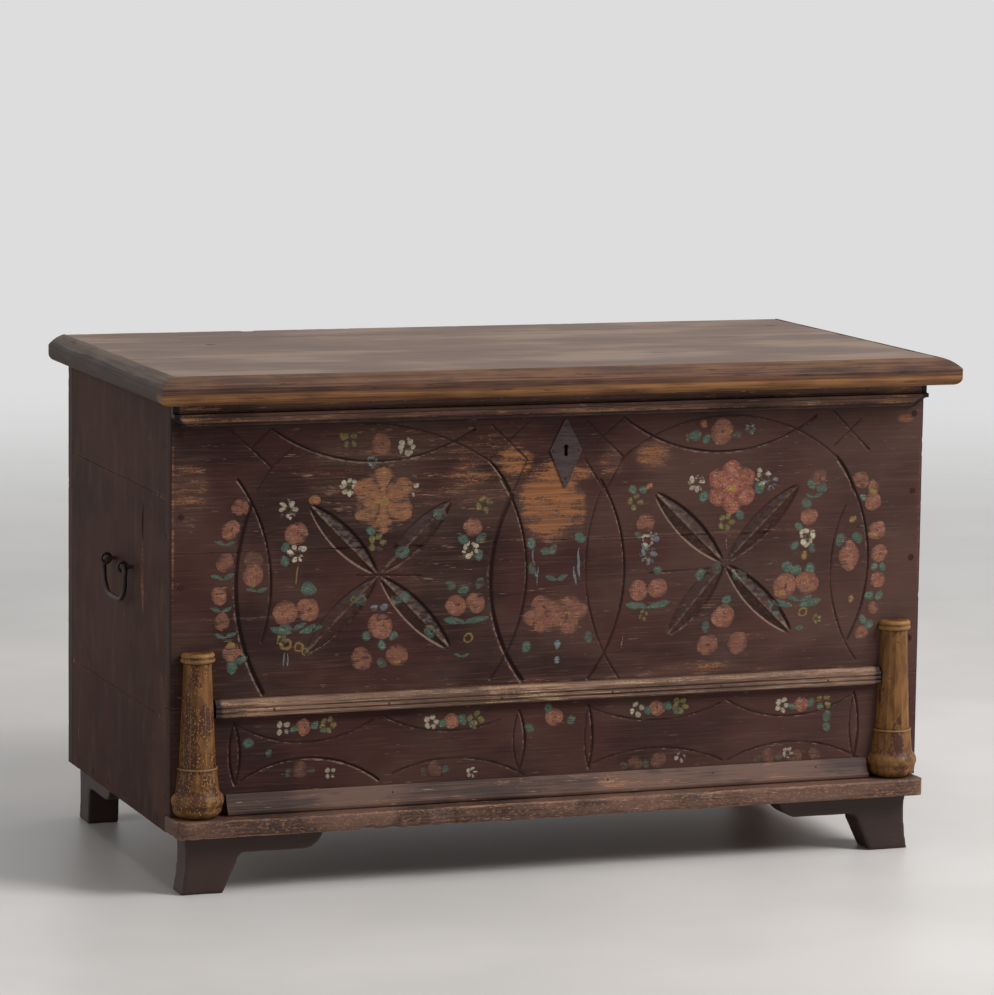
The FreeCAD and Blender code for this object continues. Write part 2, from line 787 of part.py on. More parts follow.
def hinge(x):
    """Body strap, lid strap and pin of the strap hinge at x, with the nails of both straps."""
    half = strap_width / 2
    half_middle = knuckle_middle_length / 2
    wall = deep(body_depth)
    clear = knuckle_radius + knuckle_gap
    top = hinge_axis_height
    low = top - body_strap_length
    pin_bore = rod(hinge_pin_radius + hinge_pin_play, V(x - half, deep(hinge_axis_depth), top),
                   V(x + half, deep(hinge_axis_depth), top))

    face = strap_outline(strap_width, top, low, strap_tip_length, lambda out, up: V(x + out, wall, up))
    body_strap = face.extrude(BACK * strap_thickness)
    notch = block(x - half_middle - knuckle_gap, x + half_middle + knuckle_gap,
                  wall, wall + strap_thickness, top - clear, top)
    body_strap = body_strap.cut(notch).cut(pin_bore)
    for x0, x1 in ((x - half, x - half_middle - knuckle_gap), (x + half_middle + knuckle_gap, x + half)):
        body_strap = body_strap.fuse(knuckle(x0, x1))
    body_nails = []
    for share in body_strap_nail_shares:
        z = top - body_strap_length * share
        body_nails.append(strap_nail(V(x, wall + strap_thickness, z), BACK * -1))

    axis_y = deep(hinge_axis_depth)
    slab_start = wall - knuckle_gap * 4
    slab_end = slab_start - lid_strap_length
    face = strap_outline(strap_width, slab_start, slab_end, strap_tip_length,
                         lambda out, along: V(x + out, along, lid_underside))
    lid_strap = face.extrude(UP * strap_thickness)
    tongue = block(x - half_middle, x + half_middle, slab_start, axis_y,
                   lid_underside, lid_underside + strap_thickness)
    lid_strap = lid_strap.fuse(tongue.cut(pin_bore)).fuse(knuckle(x - half_middle, x + half_middle))
    recess = face.extrude(UP * strap_thickness).fuse(tongue)
    lid_nails = []
    for share in lid_strap_nail_shares:
        y = slab_start - lid_strap_length * share
        lid_nails.append(strap_nail(V(x, y, lid_underside), UP))

    pin_half = half + knuckle_gap
    pin = rod(hinge_pin_radius, V(x - pin_half, axis_y, top), V(x + pin_half, axis_y, top))
    for side in (-1, 1):
        start = V(x + side * pin_half, axis_y, top)
        end = start + RIGHT * side * hinge_pin_head_height
        pin = pin.fuse(rod(hinge_pin_head_radius, start, end))
    body_strap = cut_all(body_strap.removeSplitter(), body_nails)
    lid_strap = cut_all(lid_strap.removeSplitter(), lid_nails)
    return body_strap, lid_strap, pin.removeSplitter(), body_nails, lid_nails, recess


def lid_boards(cuts):
    parts = {}
    seams = [deep(depth) for depth in lid_depths]
    for name, y0, y1 in zip(("front", "middle", "rear"), seams, seams[1:]):
        board = block(-lid_half_length, lid_half_length, y0, y1, lid_underside, overall_height)
        parts["lid_board_" + name] = cut_all(board, cuts)
    return parts


def lid_edge_steps(inner):
    """Section of the lid's edge moulding, from its rebate outward; inner is its hidden lip."""
    nose = lid_bevel_run
    nose_top = overall_height - lid_bevel_drop
    nose_bottom = nose_top - lid_nose_height
    crown_out = nose / 2 + lid_bevel_crown
    crown_up = overall_height - lid_bevel_drop / 2 + lid_bevel_crown
    under = nose - lid_under_run
    curve_out = nose - lid_under_run / 4
    curve_up = lid_edge_bottom + (nose_bottom - lid_edge_bottom) / 3
    return [
        (-inner, lid_edge_bottom),
        (under, lid_edge_bottom),
        (curve_out, curve_up, nose, nose_bottom),
        (nose, nose_top),
        (crown_out, crown_up, 0, overall_height),
        (0, lid_underside),
        (-inner, lid_underside),
    ]


def lid_mouldings(pins):
    """Nosing planted on the lid's front and ends, mitred at the front corners."""
    front_lip = lid_front_edge - lid_lip_gap
    side_lip = lid_side_edge - lid_lip_gap
    outer_x = lid_half_length + lid_bevel_run
    outer_y = deep(-front_overhang)
    mitre = lid_bevel_run + side_lip
    inner_x = outer_x - mitre
    inner_y = deep(-lid_lip_gap)
    rear_y = deep(body_depth - lid_back_gap)
    edge_y = deep(-lid_front_edge)
    face = outline(lid_edge_steps(front_lip), lambda out, up: V(-outer_x, edge_y - out, up))
    front_strip = face.extrude(RIGHT * 2 * outer_x)
    plan = [(-outer_x, outer_y), (outer_x, outer_y), (inner_x, outer_y + mitre), (inner_x, inner_y),
            (-inner_x, inner_y), (-inner_x, outer_y + mitre)]
    keep = outline(plan, lambda x, y: V(x, y, lid_edge_bottom)).extrude(UP * lid_moulding_height)
    face = outline(lid_edge_steps(side_lip), lambda out, up: V(-lid_half_length - out, outer_y, up))
    side_strip = face.extrude(BACK * (rear_y - outer_y))
    side_plan = [(-outer_x, outer_y), (-inner_x, outer_y + mitre), (-inner_x, rear_y), (-outer_x, rear_y)]
    side_keep = outline(side_plan, lambda x, y: V(x, y, lid_edge_bottom)).extrude(UP * lid_moulding_height)
    left = side_strip.common(side_keep)
    return {
        "lid_moulding_front": cut_all(front_strip.common(keep), pins),
        "lid_moulding_left": cut_all(left, pins),
        "lid_moulding_right": cut_all(mirrored(left), pins),
    }


def lid_moulding_pins():
    """Pins up through the front lip, and in through the nose at the ends."""
    pins = []
    front_y = deep(-lid_front_edge / 2)
    for x in spread(lid_half_length, trim_pin_count):
        pins.append(trim_pin(V(x, front_y, lid_edge_bottom), UP))
    nose_z = overall_height - lid_bevel_drop - lid_nose_height / 4
    outer_x = lid_half_length + lid_bevel_run
    middle = deep(body_depth / 2)
    for y in spread(body_depth / 2, trim_pin_count):
        pins.append(trim_pin(V(-outer_x, middle + y, nose_z), RIGHT))
        pins.append(trim_pin(V(outer_x, middle + y, nose_z), RIGHT * -1))
    return pins


def battens():
    """Cross battens under the lid, inside the chest, and their nails."""
    half = batten_width / 2
    x = inner_half_width - batten_inset
    y0 = deep(wall_thickness + batten_front_gap)
    y1 = deep(body_depth - wall_thickness - batten_rear_gap)
    z0 = lid_underside - batten_thickness
    nails = []
    parts = {}
    seams = (y0, deep(lid_depths[1]), deep(lid_depths[2]), y1)
    for name, side in (("left", -1), ("right", 1)):
        for near, far in zip(seams, seams[1:]):
            nails.append(long_nail(V(side * x, (near + far) / 2, z0)))
        parts["lid_batten_" + name] = block(side * x - half, side * x + half, y0, y1, z0, lid_underside)
    for name, batten in parts.items():
        parts[name] = cut_all(batten, nails)
    parts["batten_nails"] = group(nails)
    return parts, nails


def long_nail(place):
    reach = batten_thickness + lid_board_thickness / 2
    return nail(place, UP, nail_head_radius, nail_head_height, nail_shank_radius, reach)


def bail(side):
    """Wrought rod handle: pins through the eyes, shoulders, and a rounded grip."""
    x = side * (half_width + handle_stand_off)
    middle = deep(handle_depth)
    inner_end = handle_eye_spacing / 2 - bail_end_overrun
    shoulder = bail_half_width - bail_shoulder_radius
    grip_side = bail_half_width - bail_grip_radius
    leg_end = bail_drop - bail_grip_radius
    bend = math.sqrt(1 / 2)

    def half_path(hand):
        def place(out, down):
            return V(x, middle + hand * out, handle_height - down)

        shoulder_bend = place(shoulder + bail_shoulder_radius * bend, bail_shoulder_radius * (1 - bend))
        shoulder_end = place(bail_half_width, bail_shoulder_radius)
        leg_foot = place(bail_half_width, leg_end)
        grip_bend = place(grip_side + bail_grip_radius * bend, leg_end + bail_grip_radius * bend)
        grip_end = place(grip_side, bail_drop)
        return [
            Part.makeLine(place(inner_end, 0), place(shoulder, 0)),
            Part.Arc(place(shoulder, 0), shoulder_bend, shoulder_end).toShape(),
            Part.makeLine(shoulder_end, leg_foot),
            Part.Arc(leg_foot, grip_bend, grip_end).toShape(),
        ], grip_end

    rear, rear_grip = half_path(1)
    fore, fore_grip = half_path(-1)
    path = Part.Wire(rear + [Part.makeLine(rear_grip, fore_grip)] + fore[::-1])
    start = V(x, middle + inner_end, handle_height)
    section = Part.Wire(Part.makeCircle(bail_rod_radius, start, BACK))
    shape = path.makePipeShell([section], True, False)
    for hand in (1, -1):
        knob_end = V(x, middle + hand * inner_end, handle_height)
        knob_start = knob_end - BACK * hand * bail_knob_length
        shape = shape.fuse(rod(bail_knob_radius, knob_start, knob_end))
    return shape.removeSplitter()


def handle_eyes(side):
    """Forged eyes whose shanks pass the side board and are clenched down inside."""
    eyes = []
    hole = bail_rod_radius + eye_play
    ring_radius = hole + eye_rod_radius
    x = side * (half_width + handle_stand_off)
    for y in handle_eye_places():
        ring = Part.makeTorus(ring_radius, eye_rod_radius, V(x, y, handle_height), BACK)
        shank_start = V(x - side * ring_radius, y, handle_height)
        tail_x = side * (inner_half_width - eye_shank_radius)
        bend_at = V(tail_x, y, handle_height)
        shank = rod(eye_shank_radius, shank_start, bend_at)
        tail = rod(eye_shank_radius, bend_at, bend_at - UP * eye_tail_length)
        ball = Part.makeSphere(eye_shank_radius, bend_at)
        eyes.append(ring.fuse(shank).fuse(ball).fuse(tail).removeSplitter())
    return eyes


def build():
    parts = {}
    hinges = {}
    body_nails = []
    lid_iron_nails = []
    recesses = []
    for name, side in (("left", -1), ("right", 1)):
        body_strap, lid_strap, pin, on_body, on_lid, recess = hinge(side * (half_width - hinge_inset))
        hinges["hinge_body_strap_" + name] = body_strap
        hinges["hinge_lid_strap_" + name] = lid_strap
        hinges["hinge_pin_" + name] = pin
        body_nails += on_body
        lid_iron_nails += on_lid
        recesses.append(recess)
    lock_parts, lock_nails = lock()
    plate, tacks = keyhole_plate()
    staple, staple_nails = lid_staple()
    lid_iron_nails += staple_nails
    pins = trim_pins()
    lid_pins = lid_moulding_pins()
    batten_parts, batten_nails = battens()

    parts.update(walls(pins + tacks + lock_nails, body_nails))
    parts.update(bottom_boards())
    parts.update(feet())
    parts["cornice"] = cut_all(cornice(), pins)
    parts["mid_rail"] = cut_all(reeded_rail(), pins)
    parts["base_moulding"] = cut_all(skirt_moulding(), pins)
    parts["column_left"] = half_column()
    parts["column_right"] = mirrored(half_column())
    parts["corner_pegs"] = group(corner_pegs())
    parts["bottom_pegs"] = group(bottom_pegs())
    parts["foot_pegs"] = group(foot_pegs())
    parts["trim_pins"] = group(pins)
    parts["keyhole_plate"] = plate
    parts["keyhole_tacks"] = group(tacks)
    parts.update(lock_parts)
    parts.update(hinges)
    parts["hinge_body_nails"] = group(body_nails)
    parts["lid_iron_nails"] = group(lid_iron_nails)
    parts["lid_staple"] = staple
    parts.update(lid_boards(recesses + lid_iron_nails + lid_pins + batten_nails))
    parts.update(lid_mouldings(lid_pins))
    parts["lid_moulding_pins"] = group(lid_pins)
    parts.update(batten_parts)
    for name, side in (("left", -1), ("right", 1)):
        parts["handle_bail_" + name] = bail(side)
        parts["handle_eyes_" + name] = group(handle_eyes(side))
    return parts


def main():
    os.makedirs("parts", exist_ok=True)
    parts = build()
    low = V(0, 0, 0)
    high = V(0, 0, 0)
    for name, shape in parts.items():
        shape.exportStep("parts/" + name + ".step")
        box = shape.BoundBox
        low = V(min(low.x, box.XMin), min(low.y, box.YMin), min(low.z, box.ZMin))
        high = V(max(high.x, box.XMax), max(high.y, box.YMax), max(high.z, box.ZMax))
        state = "valid" if shape.isValid() else "INVALID"
        print(name, len(shape.Solids), "solids", round(shape.Volume), state)
    print("nodes", len(parts))
    print("low corner", [round(value, 2) for value in low])
    print("high corner", [round(value, 2) for value in high])


main()
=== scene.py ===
"""Painted marriage chest: the finish of its boards, carving, flowers, mouldings and iron.

Metres, +Z up, the front faces -Y. Marks on the boards are written in millimetres: X from the
middle, Z from the floor, and on the ends and the lid Y back from the front face.
"""
import itertools
import json
import math

import bmesh
import bpy
import numpy as np
from bpy.props import FloatProperty, FloatVectorProperty, PointerProperty
from mathutils import Matrix, Vector

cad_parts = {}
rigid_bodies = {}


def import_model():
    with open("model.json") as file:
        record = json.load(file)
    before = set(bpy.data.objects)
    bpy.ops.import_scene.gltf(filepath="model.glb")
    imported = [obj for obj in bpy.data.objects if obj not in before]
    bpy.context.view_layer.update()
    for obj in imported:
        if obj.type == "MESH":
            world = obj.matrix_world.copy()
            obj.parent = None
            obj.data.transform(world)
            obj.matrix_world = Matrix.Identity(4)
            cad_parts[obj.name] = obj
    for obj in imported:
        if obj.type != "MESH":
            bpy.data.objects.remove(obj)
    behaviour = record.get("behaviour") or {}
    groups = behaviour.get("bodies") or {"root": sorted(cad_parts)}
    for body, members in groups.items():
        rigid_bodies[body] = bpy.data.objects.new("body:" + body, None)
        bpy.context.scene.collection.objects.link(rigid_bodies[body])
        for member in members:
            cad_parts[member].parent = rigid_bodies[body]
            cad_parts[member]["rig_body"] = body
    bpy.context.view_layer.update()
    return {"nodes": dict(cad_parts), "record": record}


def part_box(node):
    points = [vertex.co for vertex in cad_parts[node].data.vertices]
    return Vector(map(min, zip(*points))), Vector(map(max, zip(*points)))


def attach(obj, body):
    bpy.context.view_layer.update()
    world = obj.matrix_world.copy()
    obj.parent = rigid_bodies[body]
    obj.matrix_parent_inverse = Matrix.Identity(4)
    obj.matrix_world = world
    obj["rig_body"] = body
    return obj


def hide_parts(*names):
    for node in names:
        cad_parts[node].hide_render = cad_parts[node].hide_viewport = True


bl_info = {
    "name": "Painted marriage chest",
    "version": (1, 0, 0),
    "blender": (4, 5, 0),
    "location": "3D View > Sidebar > Chest",
    "description": "Carves, paints and ages a boarded chest around its packed frame",
    "category": "Object",
}

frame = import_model()

MM = 0.001
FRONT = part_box("front_board_upper")[0].y
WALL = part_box("front_board_upper")[1].y - FRONT
INSIDE = FRONT + WALL
HALF_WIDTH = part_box("front_board_upper")[1].x
LID_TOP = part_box("lid_board_front")[1].z
RIM_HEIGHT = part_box("front_board_upper")[1].z
SHELF_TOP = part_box("base_board")[1].z
RAIL_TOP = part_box("mid_rail")[1].z
NODE_SLOTS = {part["node"]: part["material_slot"] for part in frame["record"]["subparts"]}

NOISE = "ShaderNodeTexNoise"
MIX = "ShaderNodeMix"
RANGE = "ShaderNodeMapRange"
MATH = "ShaderNodeMath"
ATTRIBUTE = "ShaderNodeAttribute"
PLACE = "ShaderNodeTexCoord"
SPLIT = "ShaderNodeSeparateXYZ"

# Carving on the front, by the half width and the depth of the cut: arcs as X and Z of both ends and
# their rise, left of the way from end to end, which is 0 for a straight line
FINE_CUT = (1.6, 1.6)
DEEP_CUT = (2.3, 2.6)
WIDE_CUT = (4.6, 3.2)
ARCS = {
    FINE_CUT: (
        (-312, 689, -108, 626, 16), (100, 622, 456, 616, 66), (69, 575, 104, 288, -38),
        (473, 541, 495, 300, -34), (-506, 253, -289, 245, -32), (-271, 250, -87, 236, -20),
        (51, 251, 270, 243, -25), (280, 248, 487, 244, -29), (-257, 162, -48, 149, 25),
        (64, 161, 275, 154, 21), (284, 153, 502, 146, 27), (-57, 248, -56, 157, -9),
        (55, 250, 56, 154, -6), (494, 248, 495, 146, -7), (-510, 685, -448, 628, 0),
        (-448, 628, -470, 594, 0), (-450, 684, -479, 657, 0), (-416, 655, -448, 628, 0),
        (-107, 682, -50, 628, 0), (-49, 683, -108, 630, 0), (-50, 626, -74, 573, 0),
        (45, 683, 106, 626, 0), (106, 626, 79, 580, 0), (43, 626, 86, 560, 0), (448, 688, 510, 625, 0),
        (495, 673, 451, 633, 0), (106, 687, 60, 650, 0), (-316, 463, -215, 459, 0),
        (150, 448, 272, 452, 0),
    ),
    DEEP_CUT: (
        (-447, 684, -133, 675, -48), (-108, 626, -73, 573, 3), (105, 687, 420, 680, -54),
        (456, 616, 484, 564, 4), (-499, 611, -462, 370, 30), (-89, 598, -104, 298, 48),
        (69, 593, 52, 290, 48), (458, 611, 480, 332, 42), (-493, 163, -279, 154, 34),
        (-503, 252, -502, 159, 8), (-503, 252, -502, 159, -8), (-57, 248, -56, 157, 9),
        (55, 250, 56, 154, 6), (494, 248, 495, 146, 7),
    ),
    WIDE_CUT: (
        (-479, 574, -460, 293, -32), (-73, 573, -54, 293, -42),
    ),
}

# Eight carved leaves on the diagonals of two rosettes, each from the heart to a tip
ROSETTES = (
    ((-281, 462), ((-391, 573), (-166, 572), (-165, 344), (-399, 345))),
    ((273, 458), ((155, 573), (397, 578), (388, 344), (178, 348))),
)
LEAF_HALF_WIDTH = 17.0
# How deep the cut around a leaf is, how deep its blade lies at the middle and how much deeper at the
# edge, how high its rib stands, and over what half width the leaf comes to its full depth
LEAF_WALL, LEAF_BLADE, LEAF_SLOPE, LEAF_RIB, LEAF_RUN_IN = 3.2, 0.5, 2.7, 0.9, 7.0

# How far from a cut the paint takes no notice of it, and how deep inside one it sees, in millimetres
UNCUT = 9.0
INMOST = -6.0

# Where the paint is rubbed down to the wood: X, Z, half sizes and how much
RUBBED = (
    (-12, 562, 50, 60, 0.95), (-66, 625, 30, 26, 0.62), (-140, 606, 42, 22, 0.5), (20, 603, 40, 14, 0.6),
    (34, 548, 14, 40, 0.6), (155, 628, 32, 22, 0.62), (-250, 592, 150, 58, 0.3), (-120, 596, 90, 46, 0.36),
    (-572, 598, 34, 56, 0.4), (-597, 560, 3, 130, 0.5), (-1, 394, 52, 40, 0.35), (217, 392, 60, 26, 0.2),
    (-275, 574, 50, 44, 0.36), (86, 622, 22, 24, 0.42), (597, 540, 3, 150, 0.36), (150, 506, 430, 3, 0.38),
    (-460, 406, 140, 3, 0.34), (-200, 655, 190, 34, 0.3), (-330, 610, 90, 60, 0.32),
    (-110, 640, 70, 40, 0.34), (-190, 470, 60, 70, 0.24), (0, 291, 560, 7, 0.3), (230, 300, 70, 9, 0.42),
    (571, 673, 15, 7, 0.85), (-380, 622, 60, 30, 0.26), (300, 345, 60, 6, 0.3),
)

# Flower colours, as bright as age has left them
ROSE, FADED, RED, DEEP = "#96614C", "#75503F", "#9C594A", "#5A3229"
ORANGE, TEAL, GREEN, LIME = "#A06A45", "#456D5D", "#476950", "#7B7843"
YELLOW, WHITE, BLUE, PINK = "#A0853F", "#C2B7A0", "#70868A", "#B07C66"


def linear(code):
    """Linear colour of an sRGB hex code."""
    parts = [int(code[place:place + 2], 16) / 255 for place in (1, 3, 5)]
    return tuple(p / 12.92 if p <= 0.04045 else ((p + 0.055) / 1.055) ** 2.4 for p in parts) + (1.0,)


def paint_choice(name, description, code):
    """A colour that the user can change."""
    return FloatVectorProperty(
        name=name, description=description, subtype="COLOR", size=4, min=0, max=1, default=linear(code))


def length_choice(name, description, default):
    """A length in millimetres that the user can change."""
    return FloatProperty(
        name=name, description=description, default=default * MM, min=0.1 * MM, unit="LENGTH", precision=5)


class ChestColours(bpy.types.PropertyGroup):
    """Main colours of the chest's finishes and of the floor."""
    front_paint: paint_choice("Front paint", "Purple-brown oil paint of the front", "#412723")
    side_paint: paint_choice("End paint", "The same paint on the ends, browner and drier", "#452C24")
    bare_wood: paint_choice("Rubbed wood", "Old pine where the paint has been rubbed away", "#8F5E3E")
    lid_top: paint_choice("Lid top", "Scoured grey-brown pine of the lid", "#705B4F")
    column_ochre: paint_choice("Column ochre", "Ochre distemper on the half columns", "#76502A")
    foot_paint: paint_choice("Foot paint", "Dark maroon coat on the feet", "#37251F")
    iron: paint_choice("Iron", "Forged iron between its rust marks", "#2E211B")
    floor: paint_choice("Floor", "Pale studio floor", "#D8D4D1")
    backdrop: paint_choice("Backdrop", "Pale background behind the floor", "#DDDDDD")


class ChestSizes(bpy.types.PropertyGroup):
    """Sizes of the surface work."""
    carving_grid: length_choice("Carving grid", "Spacing of the mesh that holds the carving", 1.9)
    board_grid: length_choice("Board grid", "Spacing of the mesh of the other boards", 5.0)
    edge_wear: length_choice("Edge wear", "Radius to which handling has worn the boards' edges", 1.3)
    edge_chips: length_choice("Edge chips", "How much deeper knocks have taken the edges", 2.2)
    moulding_rings: length_choice("Moulding rings", "Spacing of the rings along a moulding", 6.0)
    moulding_wear: length_choice("Moulding wear", "How far a moulding's surface wanders", 0.9)
    foot_grid: length_choice("Foot grid", "Voxel size of the worn feet", 2.6)
    iron_grid: length_choice("Iron grid", "Voxel size of the forged iron", 1.0)
    paint_lift: length_choice("Paint lift", "How far each coat of a flower stands above the last", 0.1)


def add(tree, kind, inputs=None, **settings):
    """Add a node; each input gets a value, a hex colour, or a link from a node or a socket."""
    made = tree.nodes.new(kind)
    for name, value in settings.items():
        setattr(made, name, value)
    for key, value in (inputs or {}).items():
        by_name = [socket for socket in made.inputs if socket.name == key and socket.enabled]
        socket = by_name[0] if by_name else made.inputs[key]
        if isinstance(value, bpy.types.Node):
            value = next(out for out in value.outputs if out.enabled)
        if isinstance(value, bpy.types.NodeSocket):
            tree.links.new(value, socket)
        else:
            socket.default_value = linear(value) if str(value).startswith("#") else value
    return made


def coordinate(tree, axis):
    """How far along an axis of the chest each point lies, in metres."""
    return add(tree, SPLIT, {0: add(tree, PLACE).outputs["Object"]}).outputs[axis]


def sideways(tree):
    """How far to either side of the middle each point lies, in metres."""
    return add(tree, MATH, {0: coordinate(tree, "X")}, operation="ABSOLUTE")


# Patterns that several finishes share

def streaks(tree, size, seed=0.0, detail=3.0):
    """Noise whose lumps measure size millimetres along X, Y and Z, such as grain or brush marks."""
    place = add(tree, PLACE).outputs["Object"]
    scale = [1 / (length * MM) for length in size]
    mapped = add(tree, "ShaderNodeMapping", {"Vector": place, "Location": (seed,) * 3, "Scale": scale})
    return add(tree, NOISE, {"Vector": mapped, "Scale": 1.0, "Detail": detail})


def along(run, length, across):
    """Lump size of a streak that is drawn out along the axes named in run."""
    return [length if axis in run else across for axis in "XYZ"]


def total(tree, *terms):
    """Sum of sources, each with its weight and the value at which it counts as nothing."""
    running = None
    for source, weight, middle in terms:
        term = add(tree, MATH, {0: source, 1: weight, 2: -middle * weight}, operation="MULTIPLY_ADD")
        running = term if running is None else add(tree, MATH, {0: running, 1: term}, operation="ADD")
    return running


def where(tree, low, high, *terms):
    """Mask that rises smoothly from 0 to 1 while the sum of the terms goes from low to high."""
    terms = [term if isinstance(term, tuple) else (term, 1.0, 0.0) for term in terms]
    limits = {"Value": total(tree, *terms), "From Min": low, "From Max": high}
    return add(tree, RANGE, limits, interpolation_type="SMOOTHSTEP")


def layered(tree, base, *coats):
    """Colour with coats laid over it in turn, each a colour, a mask and, if not 1, a strength."""
    for colour, mask, *strength in coats:
        if strength:
            mask = total(tree, (mask, strength[0], 0.0))
        base = add(tree, MIX, {"Factor": mask, "A": base, "B": colour}, data_type="RGBA")
    return base


def carried(tree):
    """The numbers that a piece's mesh carries at each point, by name."""
    names = ("rub", "cut", "leaf", "ridge", "fleck", "hold", "bed_hold", "edge", "lit")
    return {name: add(tree, ATTRIBUTE, attribute_name=name).outputs["Fac"] for name in names}


def grain_of_pine(tree, run, dark, light, seed=0.0):
    """Sawn pine: early and late wood in bands about 3 mm wide, with finer fibres in them."""
    bands = streaks(tree, along(run, 160, 3.4), seed)
    fibres = streaks(tree, along(run, 45, 0.9), seed + 3)
    grain = where(tree, 0.32, 0.68, bands, (fibres, 0.6, 0.5))
    return layered(tree, dark, (light, grain)), grain


def planed_bare_wood(tree, run="XY"):
    """Honey-coloured pine that was never painted: inside, and on the boards' hidden edges."""
    return grain_of_pine(tree, run, "#8A6443", "#B08A60", 8.0)[0]


def worn_paint(tree, run, dark, light, wood, rub, seed=0.0, hold=0.8, scratched=0.55):
    """Brushed paint that age has clouded, streaked, and rubbed through in ragged lines.

    Brush marks are 2.6 mm apart and fine scratches 1.1 mm, as fine as still shows. Returns the
    colour, how far the wood shows through, and the height of the skin.
    """
    clouds = where(tree, 0.34, 0.66, streaks(tree, (190, 190, 120), seed, 3.0))
    brush = streaks(tree, along(run, 110, 2.6), seed + 5)
    fine = streaks(tree, along(run, 34, 1.1), seed + 9)
    specks = streaks(tree, (3.0, 3.0, 2.0), seed + 13, 2.0)
    patches = streaks(tree, along(run, 55, 9.0), seed + 21, 2.0)
    nicks = streaks(tree, along(run, 16, 1.1), seed + 17, 1.0)
    tone = where(tree, 0.0, 0.9, (clouds, 0.8, 0.0), (brush, 1.5, 0.4), (fine, 0.4, 0.5))
    ragged = total(tree, (fine, 2.8, 0.5), (specks, 3.0, 0.5), (brush, 1.2, 0.5), (patches, 3.6, 0.1))
    reach = add(tree, MATH, {0: rub, 1: ragged}, operation="MULTIPLY")
    through = where(tree, hold, hold + 0.24, reach)
    thin = where(tree, hold - 0.4, hold + 0.1, reach)
    scratches = where(tree, 0.8, 0.9, nicks, (rub, 0.35, 0.0), (patches, 0.9, 0.5))
    colour = layered(
        tree, dark, (light, tone), ("#A48A7A", scratches, scratched), (wood, thin, 0.4), (wood, through))
    return colour, through, total(tree, (brush, 0.5, 0.5), (through, -0.6, 0.0))


def blank_material(name):
    """New material and its empty tree."""
    made = bpy.data.materials.new(name)
    made.use_nodes = True
    made.node_tree.nodes.clear()
    return made, made.node_tree


def finish(describe, colours):
    """The material that a description gives, made once and named for it."""
    made = bpy.data.materials.get(describe.__name__)
    if made:
        return made
    made, tree = blank_material(describe.__name__)
    colour, height, depth, *surface = describe(tree, colours)
    bump = add(tree, "ShaderNodeBump", {"Height": height, "Strength": 1.0, "Distance": depth * MM})
    constants = dict(zip(("Roughness", "Specular IOR Level", "Metallic"), surface))
    shader = add(tree, "ShaderNodeBsdfPrincipled", {"Base Color": colour, "Normal": bump, **constants})
    add(tree, "ShaderNodeOutputMaterial", {"Surface": shader})
    return made


def front_coat(tree, colours):
    """Colour, wear and height of the front: paint, rubbed wood, cuts, and the planes of the leaves.

    Cut walls and leaf halves that face up and to the right, towards the lamp, get a painted highlight,
    paled further by dust and rubbing; those that face away, and the insides of the cuts, get painted
    shade. The whole front is painted paler towards the right, as painted light.
    """
    facts = carried(tree)
    wood = grain_of_pine(tree, "XY", "#674430", "#98633E", 2.0)[0]
    wood = layered(tree, wood, (colours.bare_wood, 0.3))
    colour, through, height = worn_paint(tree, "XY", "#2C1C19", colours.front_paint, wood, facts["rub"])
    rough = streaks(tree, (9, 9, 5), 31.0, 3.0)
    haze = where(tree, 0.42, 0.66, streaks(tree, (150, 150, 100), 36.0, 3.0), (facts["rub"], 0.25, 0.0))
    lint = where(tree, 0.54, 0.7, streaks(tree, (60, 60, 2.4), 38.0, 3.0), (facts["rub"], 0.3, 0.0))
    # Painted light: the front is painted paler towards the right, where the lamp falls more strongly.
    painted_light_rightwards = where(tree, -0.15, 0.75, coordinate(tree, "X"))
    colour = layered(
        tree, colour, ("#5D493F", total(tree, (haze, 0.26, 0.0), (through, -0.4, 0.0))),
        ("#7A5F50", total(tree, (lint, 0.13, 0.0), (through, -0.3, 0.0))))
    # Painted light and shade on the carved leaves: the half that faces up and right is grey-blue and the
    # other half dark, and the pale line on the rib is a painted highlight.
    plane = where(tree, -0.1, 0.4, facts["lit"])
    arris = where(tree, 0.5, 0.95, facts["ridge"], (rough, 2.5, 0.5))
    leaf = layered(
        tree, "#33231D", ("#4B413E", plane), (colour, where(tree, 0.58, 0.4, rough)),
        ("#705A4A", arris, 0.55))
    # Pale on cut walls that face up and right, towards the lamp: a painted highlight, with dust and rubbing
    # scattered in it. Dark on walls that face away: painted shade.
    dust_and_highlight = where(tree, 0.9, 2.2, facts["lit"], (rough, 4.0, 0.5), (facts["rub"], 0.5, 0.0))
    shade = where(tree, -0.4, -1.6, facts["lit"])
    # Inside the cuts the colour is darkened: painted shade.
    colour = layered(
        tree, colour, ("#654A43", painted_light_rightwards, 0.3), (leaf, where(tree, 0.2, 1.4, facts["leaf"])),
        ("#241614", where(tree, 0.5, -0.7, facts["cut"]), 0.55), ("#1A0F0E", shade, 0.55),
        ("#8C7262", dust_and_highlight, 0.55))
    return colour, through, height


def brushed_oil_paint_on_pine(tree, colours):
    """Milk-dull oil paint: streaked purple brown that shows orange pine where hands and keys went."""
    colour, _, height = front_coat(tree, colours)
    behind = where(tree, INSIDE - 1.5 * MM, INSIDE - 1.0 * MM, coordinate(tree, "Y"))
    end = where(tree, HALF_WIDTH - 2.0 * MM, HALF_WIDTH - 0.8 * MM, sideways(tree))
    rim = where(tree, RIM_HEIGHT - 1.5 * MM, RIM_HEIGHT - 0.6 * MM, coordinate(tree, "Z"))
    bare = planed_bare_wood(tree)
    colour = layered(tree, colour, ("#311D17", end, 0.8), (bare, behind), (bare, rim))
    return colour, height, 0.2, 0.68, 0.1


